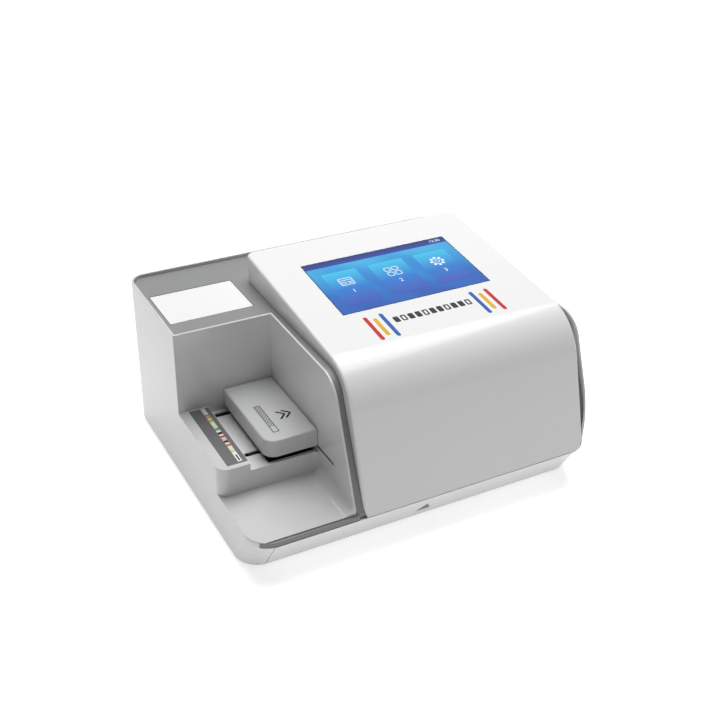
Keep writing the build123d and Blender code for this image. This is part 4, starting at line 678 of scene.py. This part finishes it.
# %% Numbers
def number(text, size):
    """A flat sketch of a plain number about the origin."""
    curve = bpy.data.curves.new("number", "FONT")
    curve.body = text
    curve.size = size
    curve.align_x = "CENTER"
    curve.align_y = "CENTER"
    holder = bpy.data.objects.new("number", curve)
    bpy.context.collection.objects.link(holder)
    bpy.context.view_layer.update()
    mesh = bpy.data.meshes.new_from_object(holder.evaluated_get(
        bpy.context.evaluated_depsgraph_get()))
    shape = bmesh.new()
    shape.from_mesh(mesh)
    bmesh.ops.remove_doubles(shape, verts=shape.verts, dist=SKIN * MM)
    bpy.data.objects.remove(holder)
    bpy.data.meshes.remove(mesh)
    return shape


# %% Numbers on the screen
NUMBER_Y = 149.5
NUMBER_SIZE, CLOCK_SIZE = 7.5 * MM, 5.5 * MM
clock_place = (SCREEN["right"] - 12.0, SCREEN["rear"] - 5.0)
numbers = [(number(str(count + 1), NUMBER_SIZE), spot((left + right) / 2, NUMBER_Y))
           for count, (left, right) in enumerate(TILES)]
numbers.append((number("12:30", CLOCK_SIZE), spot(*clock_place)))
film("screen_numbers", numbers, white_glow)

# %% [markdown]
# ## Stripes on the cover
#
# Three printed stripes with round ends stand on each side of the middle: red, yellow and blue,
# mirrored on the right. Each colour is one film, because each is one pass of the printing screen.


# %% Printed colours
def ink(name, colour):
    """A printed ink: a glossy film of one hue with the slight mottle of screen printing."""
    return moulded(name, colour, 0.35, grain=0.0004, depth=0.000006, tone=0.05, specular=0.25)


# the black ink prints marks, and on the screw heads it is also painted shade for their recesses
inks = {"red": ink("ink_red", srgb(196, 22, 24)), "yellow": ink("ink_yellow", srgb(226, 178, 24)),
        "blue": ink("ink_blue", srgb(16, 92, 176)), "black": ink("ink_black_and_recess_shade", srgb(10, 10, 11)),
        "grey": ink("ink_grey", srgb(66, 68, 72))}

# %% Stripes
STRIPE_WIDTH = 4.0
ROUND_END = 0.499            # share of the width, a hair under half, that rounds a stripe's ends
STRIPES = (("red", (154.4, 279.6), 70.1, 106.9), ("yellow", (162.0, 271.3), 74.5, 102.2),
           ("blue", (170.1, 263.7), 70.2, 107.2))
for colour, across, front, rear in STRIPES:
    parts = [(pad(STRIPE_WIDTH * MM, (rear - front) * MM, STRIPE_WIDTH * ROUND_END * MM, 10),
              on_cover(x, (front + rear) / 2, SKIN * MM)) for x in across]
    film("stripes_" + colour, parts, inks[colour])

# %% [markdown]
# ## A row of pads between the stripes
#
# A row of plain squares with round corners joins the two groups of stripes, like the pads of a
# test strip. Every third one is open, so the row doesn't read as one dark bar.

# %% Row of pads
PADS, PAD_PITCH = 11, 7.4
PAD_SIZE, PAD_CORNER, PAD_LINE = (5.4 * MM, 8.6 * MM), 1.3 * MM, 1.6 * MM
ROW_X, ROW_Y = 216.9, 93.5   # the middle of the row
pads = []
for count in range(PADS):
    x = ROW_X + (count - (PADS - 1) / 2) * PAD_PITCH
    sketch = pad(*PAD_SIZE, PAD_CORNER)
    if count % 3 == 1:
        sketch = outline_of(sketch, PAD_LINE)
    pads.append((sketch, on_cover(x, ROW_Y, SKIN * MM)))
film("cover_pads", pads, inks["black"])

# %% [markdown]
# ## The arrowhead on the drawer
#
# The band under the cover leans back towards the floor. A small arrowhead on it shows where the
# drawer is pressed. It is a circle of three sides, stretched to a blunt triangle, and it rides on
# the drawer.

# %% Arrowhead on the band
BAND_HEIGHT, BAND_BACK = 35.8, 23.4
band_lean = math.atan2(BAND_BACK, BAND_HEIGHT)
ARROW_X, ARROW_HEIGHT = 168.8, 17.0
ARROW_STRETCH = (8.43, 9.0, 1.0)
ARROW_SHIFT = -2.0 * MM      # brings the triangle's middle to its place
face_y = (BAND_HEIGHT - ARROW_HEIGHT) * BAND_BACK / BAND_HEIGHT
upright = Matrix.Translation(place(ARROW_X, face_y, ARROW_HEIGHT)) @ Matrix.Rotation(
    math.pi / 2 + band_lean, 4, "X")
arrow = disc(MM, 3)
bmesh.ops.scale(arrow, vec=ARROW_STRETCH, verts=arrow.verts)
film("drawer_arrow", [(arrow, upright @ Matrix.Translation((0, ARROW_SHIFT, SKIN * MM)))],
     inks["grey"], body="drawer")

# %% [markdown]
# ## The printed label in the loading bay
#
# A dark film on the step shows how a strip lies: coloured pads from the back and a white handle
# in front. The pads are many small squares, so a loop lays them out along the strip.

# %% Label film
STEP_TOP = 70.6
LABEL = {"x": (9.4, 28.2), "y": (76.4, 168.6)}
LABEL_CORNER = 0.6 * MM
label_size = [(high - low) * MM for low, high in LABEL.values()]
label_place = [(low + high) / 2 for low, high in LABEL.values()]
film("step_label", [(pad(*label_size, LABEL_CORNER), flat_at(*label_place, STEP_TOP + SKIN))],
     ink("label_grey", srgb(112, 112, 114)))

# %% Strip on the label
STRIP_X, STRIP_Y = 22.2, 123.3
STRIP_WIDTH, STRIP_LENGTH = 3.9, 89.0
STRIP = ((158.0, 167.8, srgb(218, 218, 206)), (154.6, 157.6, srgb(214, 122, 112)),
         (150.6, 154.2, srgb(206, 156, 52)), (144.2, 149.4, srgb(178, 200, 84)),
         (139.4, 143.4, srgb(236, 236, 214)), (134.2, 138.6, srgb(226, 228, 160)),
         (129.8, 133.6, srgb(104, 152, 152)), (123.0, 126.6, srgb(52, 32, 26)),
         (117.4, 120.6, srgb(190, 68, 52)), (113.4, 116.2, srgb(230, 176, 164)),
         (109.0, 112.6, srgb(28, 72, 76)), (103.0, 106.8, srgb(206, 124, 46)),
         (98.0, 101.8, srgb(236, 222, 200)), (93.4, 97.0, srgb(206, 214, 170)))
STRIP_LEVEL = STEP_TOP + SKIN + FILM
film("label_strip", [(pad(STRIP_WIDTH * MM, STRIP_LENGTH * MM, 0), flat_at(STRIP_X, STRIP_Y,
     STRIP_LEVEL))], ink("strip_white", srgb(240, 240, 236)))
for count, (front, rear, colour) in enumerate(STRIP):
    sketch = pad(STRIP_WIDTH * 0.98 * MM, (rear - front) * MM, 0)
    film(f"label_pad_{count:02d}", [(sketch, flat_at(STRIP_X, (front + rear) / 2,
         STRIP_LEVEL + FILM))], ink(f"pad_ink_{count:02d}", colour))
HANDLE_Y, HANDLE_MARK = 84.5, (1.3 * MM, 9.0 * MM, 0.5 * MM)
film("label_handle_mark", [(pad(*HANDLE_MARK), flat_at(STRIP_X, HANDLE_Y, STRIP_LEVEL + FILM))],
     inks["black"])

# %% [markdown]
# ## The print on the hood
#
# The hood slides to the right and pushes a strip into the slit. Two chevrons say so, and beside
# them is an outlined strip with its pads.

# %% Printed strip on the hood
HOOD_INK = 86.2 + SKIN       # just above the hood's top
HOOD_STRIP_X, HOOD_STRIP_Y = 58.8, 106.4
HOOD_STRIP = (5.9 * MM, 44.2 * MM, 0.2 * MM, 2)
HOOD_PAD = (3.2 * MM, 2.4 * MM, 0.2 * MM, 2)
FIRST_PAD_Y, HOOD_PAD_PITCH, HANDLE_LINE_Y = 125.6, 3.5, 94.6
hood_parts = [(outline_of(pad(*HOOD_STRIP), 0.7 * MM), flat_at(HOOD_STRIP_X, HOOD_STRIP_Y, HOOD_INK))]
for count in range(9):
    hood_parts.append((outline_of(pad(*HOOD_PAD), 0.45 * MM),
                       flat_at(HOOD_STRIP_X, FIRST_PAD_Y - count * HOOD_PAD_PITCH, HOOD_INK)))
hood_parts.append((pad(5.0 * MM, 0.7 * MM, 0), flat_at(HOOD_STRIP_X, HANDLE_LINE_Y, HOOD_INK)))
print("sketches on the hood so far:", len(hood_parts))

# %% Chevrons on the hood
CHEVRON = 12.0               # from one foot of a chevron to the other
CHEVRON_LEG = (CHEVRON * 0.74 * MM, 1.7 * MM, 0)
CHEVRON_Y = 106.6
for tip in (76.6, 81.9):
    for side in (-1, 1):
        middle = (tip - CHEVRON / 4, CHEVRON_Y + side * CHEVRON / 4)
        hood_parts.append((pad(*CHEVRON_LEG), flat_at(*middle, HOOD_INK, turn=-side * 45.0)))
film("hood_print", hood_parts, inks["black"], body="loader")

# %% [markdown]
# ## Sockets at the back
#
# Sockets are recognised by what is inside them: gold contacts in the network and data mouths, a
# metal rim and two nuts on the serial port, and two status lamps. Their places follow from the
# board that carries them and from the back's face.

# %% Back places
BACK = 296.0
SOCKET_FACE = BACK - 0.4     # the sockets end this far inside the panel
BOARD_TOP = 42.1
POWER_Z = 47.1               # the middle of the inlet and the switch
INLET_X, SWITCH_X, DATA_X, NETWORK_X, SERIAL_X = 118.0, 146.0, 214.0, 240.0, 275.0
DATA_Z, NETWORK_Z, SERIAL_Z = BOARD_TOP + 7.8, BOARD_TOP + 6.8, BOARD_TOP + 6.3


def on_back(x, z, y=BACK):
    """A matrix that stands a flat sketch on the back, readable from behind."""
    return Matrix.Translation(place(x, y, z)) @ Matrix.Rotation(math.pi, 4, "Z") @ Matrix.Rotation(
        math.pi / 2, 4, "X")


print("sockets stand", round(BOARD_TOP, 1), "mm and more above the underside")

# %% Socket contacts
NETWORK_PIN, NETWORK_PITCH = (0.5 * MM, 6.0 * MM, 0), 1.02
DATA_PIN, DATA_PITCH = (1.2 * MM, 7.0 * MM, 0), 2.4
DATA_LEVELS = (-1.75, 5.85)  # the contacts of the lower and the upper data socket
gold = metal("gold_contact", (0.83, 0.62, 0.24), 0.25, "lines", 2000.0, 0.2)
contacts = [(pad(*NETWORK_PIN), flat_at(NETWORK_X + (pin - 3.5) * NETWORK_PITCH, BACK - 6.5,
            NETWORK_Z + 3.7)) for pin in range(8)]
for level in DATA_LEVELS:
    contacts += [(pad(*DATA_PIN), flat_at(DATA_X + (pin - 1.5) * DATA_PITCH, BACK - 7.0,
                 DATA_Z + level)) for pin in range(4)]
film("socket_contacts", contacts, gold, thickness=0.12 * MM)

# %% Serial port and lamps
PORT_RIM, PORT_NUT, NUT_REACH = (20.0 * MM, 11.0 * MM, 2.6 * MM), 2.6 * MM, 12.5
port_face = SOCKET_FACE + 2 * SKIN
port = [(outline_of(pad(*PORT_RIM), 1.0 * MM), on_back(SERIAL_X, SERIAL_Z, port_face))]
for side in (-1, 1):
    port.append((outline_of(disc(PORT_NUT, 6), 1.1 * MM),
                 on_back(SERIAL_X + side * NUT_REACH, SERIAL_Z, port_face)))
film("serial_metal", port, finishes["steel_sheet"], thickness=0.3 * MM)
for name, x, colour in (("green", -6.4, srgb(40, 190, 80)), ("amber", 6.4, srgb(240, 160, 30))):
    film("network_lamp_" + name, [(pad(2.2 * MM, 1.5 * MM, 0.3 * MM),
         on_back(NETWORK_X + x, NETWORK_Z + 5.4, SOCKET_FACE + SKIN))],
         moulded("lamp_" + name, colour, 0.2))

# %% [markdown]
# ## Numbers and a plate at the back
#
# A plain number stands above each socket, in the order from the inlet on. A small brushed plate
# with rows of plain bars finishes the bare part of the back.

# %% Numbers above the sockets
LABEL_Z, LABEL_SIZE = 63.0, 6.0 * MM
for_back = [(number(str(count + 1), LABEL_SIZE), on_back(x, LABEL_Z))
            for count, x in enumerate((INLET_X, SWITCH_X, DATA_X, NETWORK_X, SERIAL_X))]
film("back_numbers", for_back, inks["grey"], thickness=SHEET / 2)

# %% Plate with rows
PLATE, PLATE_X, PLATE_Z = (56.0 * MM, 34.0 * MM, 2.0 * MM), 135.0, 95.0
ROWS, ROW_PITCH = 5, 5.0
ROW_STEP = 6.0               # every row is one or two steps shorter than the longest
plate = metal("rating_plate", (0.80, 0.80, 0.81), 0.35, "lines", 300.0, 0.08)
film("back_plate", [(pad(*PLATE), on_back(PLATE_X, PLATE_Z))], plate,
     thickness=SHEET / 2)
rows = [(pad((44.0 - ROW_STEP * (row % 3)) * MM, 1.4 * MM, 0.5 * MM),
         on_back(PLATE_X + row % 3 * ROW_STEP / 2, PLATE_Z + (ROWS / 2 - 0.5 - row) * ROW_PITCH,
                 BACK + FILM / 2)) for row in range(ROWS)]
film("back_plate_rows", rows, inks["grey"], thickness=SHEET / 2)

# %% [markdown]
# ## Screws with painted shade in their recesses
#
# A screw without its recess looks like a rivet, and the CAD heads have no recess. The CAD node holds
# all casing screws as one mesh, so its loose solids are told apart by walking along their edges, and
# each head gets a flat black cross on its outer face: painted shade where a cross recess would be.


# %% Loose solids of a node
def solids_of(node):
    """The lowest and highest corner of each separate solid of a node."""
    shape = bmesh.new()
    shape.from_mesh(frame["nodes"][node].data)
    bmesh.ops.remove_doubles(shape, verts=shape.verts, dist=WELD)
    waiting = set(shape.verts)
    found = []
    while waiting:
        first = waiting.pop()
        reached, queue = [first], [first]
        while queue:
            for link in queue.pop().link_edges:
                for other in link.verts:
                    if other in waiting:
                        waiting.remove(other)
                        reached.append(other)
                        queue.append(other)
        found.append(([min(v.co[i] for v in reached) for i in range(3)],
                      [max(v.co[i] for v in reached) for i in range(3)]))
    shape.free()
    return sorted(found)


# %% Crosses
BLADE = (3.2 * MM, 0.75 * MM, 0)
BLADE_TURNS = (20.0, 110.0)
facing_back = on_back(0, 0).to_3x3().to_4x4()
facing_down = Matrix.Rotation(math.pi, 4, "X")
crosses = []
screws = solids_of("casing_screws")
for low, high in screws:
    centre = Vector((a + b) / 2 for a, b in zip(low, high))
    if high[1] - low[1] > high[2] - low[2]:
        seat = Matrix.Translation((centre.x, high[1] + SKIN * MM, centre.z)) @ facing_back
    else:
        seat = Matrix.Translation((centre.x, centre.y, low[2] - SKIN * MM)) @ facing_down
    for turn in BLADE_TURNS:
        crosses.append((pad(*BLADE), seat @ Matrix.Rotation(math.radians(turn), 4, "Z")))
print("casing screws:", len(screws))
# a thin black film of painted shade that stands in for the cross recesses
film("screw_recess_painted_shade", crosses, inks["black"], thickness=0.04 * MM)

# %% [markdown]
# ## Marks on the rocker
#
# A power rocker has a bar on one half and a ring on the other. The half that stands out is a
# slope, so its mark is leaned by the slope's angle, and both marks ride on the rocker.

# %% Rocker marks
ROCKER_FLAT = BACK - 2.3     # the pressed half of the rocker
ROCKER_HALF = 8.1            # from the rocker's middle ridge to its end
ROCKER_RISE = 1.4            # how far the other half stands out at its end
rocker_lean = math.atan2(ROCKER_RISE, ROCKER_HALF)
ring = (outline_of(disc(2.1 * MM), 0.6 * MM),
        on_back(SWITCH_X + ROCKER_HALF / 2, POWER_Z, ROCKER_FLAT + 2 * SKIN))
bar = (pad(0.7 * MM, 4.2 * MM, 0),
       on_back(SWITCH_X - ROCKER_HALF / 2, POWER_Z, ROCKER_FLAT + ROCKER_RISE / 2 + 3 * SKIN)
       @ Matrix.Rotation(rocker_lean, 4, "Y"))
white_ink = ink("ink_white", srgb(235, 235, 232))
film("rocker_marks", [ring, bar], white_ink, body="rocker", thickness=0.03 * MM)

# %% [markdown]
# ## Paper in the printer
#
# The web leaves the roll on its front side, rises past the print head and ends in the slot at the
# lid's front edge. It starts as one edge as wide as the paper. Spin carries the edge round the
# roll and round the platen, extrude takes it straight between them, and solidify thickens it.

# %% Where the web starts
ROLL = (222.0, 114.0, 18.5)      # y, z and radius in mm
PLATEN = (202.4, 141.6, 4.5)
WEB_SIDES = (16.3, 73.3)         # x of the web's two sides
WEB_TOP = 147.6
WEB_GAP = 0.12                   # between the web and what it goes round
ON_ROLL, ON_PLATEN = 0.35, 0.5   # how far it goes round each, in radians


def beside(circle, angle):
    """A point of the web beside a circle, as y and z in mm."""
    reach = circle[2] + WEB_GAP
    return circle[0] + reach * math.cos(angle), circle[1] + reach * math.sin(angle)


run_y, run_z = PLATEN[0] - ROLL[0], PLATEN[1] - ROLL[1]
slope = math.atan2(run_z, run_y)
swing = slope + math.acos((ROLL[2] - PLATEN[2]) / math.hypot(run_y, run_z))
web = bmesh.new()
ends = [bmesh.ops.create_vert(web, co=place(x, *beside(ROLL, swing + ON_ROLL)))["vert"][0]
        for x in WEB_SIDES]
edge = web.edges.new(ends)
print("the web leaves the roll at", round(math.degrees(swing)), "degrees")


# %% Steps of the web
def verts_of(geom):
    """The vertices among what an operator gave back."""
    return [part for part in geom if isinstance(part, bmesh.types.BMVert)]


def edges_of(geom):
    """The edges among what an operator gave back."""
    return [part for part in geom if isinstance(part, bmesh.types.BMEdge)]


def go_round(geom, circle, angle):
    """Carries the free edge of the web round a circle's axis and returns the new free edge."""
    return bmesh.ops.spin(web, geom=geom, cent=place(0, *circle[:2]), axis=(1, 0, 0), angle=angle,
                          steps=4, use_merge=False)["geom_last"]


def go_to(geom, target):
    """Extrudes the free edge of the web straight to a point and returns the new free edge."""
    made = bmesh.ops.extrude_edge_only(web, edges=edges_of(geom))["geom"]
    verts = verts_of(made)
    step = target - verts[0].co
    bmesh.ops.translate(web, vec=(0, step.y, step.z), verts=verts)
    return verts + [part for part in edges_of(made) if all(vert in verts for vert in part.verts)]


# %% Paper web
free = go_round(ends + [edge], ROLL, -ON_ROLL)
free = go_to(free, place(0, *beside(PLATEN, swing)))
free = go_round(free, PLATEN, -ON_PLATEN)
last = verts_of(free)[0].co
go_to(free, Vector((0, last.y - 0.5 * MM, place(0, 0, WEB_TOP).z)))
print("web from", round(min(v.co.z for v in web.verts), 4), "to",
      round(max(v.co.z for v in web.verts), 4), "m high")
bmesh.ops.solidify(web, geom=web.faces, thickness=FILM * MM)
bmesh.ops.recalc_face_normals(web, faces=web.faces)
finish_piece("paper_web", web, finishes["paper_white"], "root")
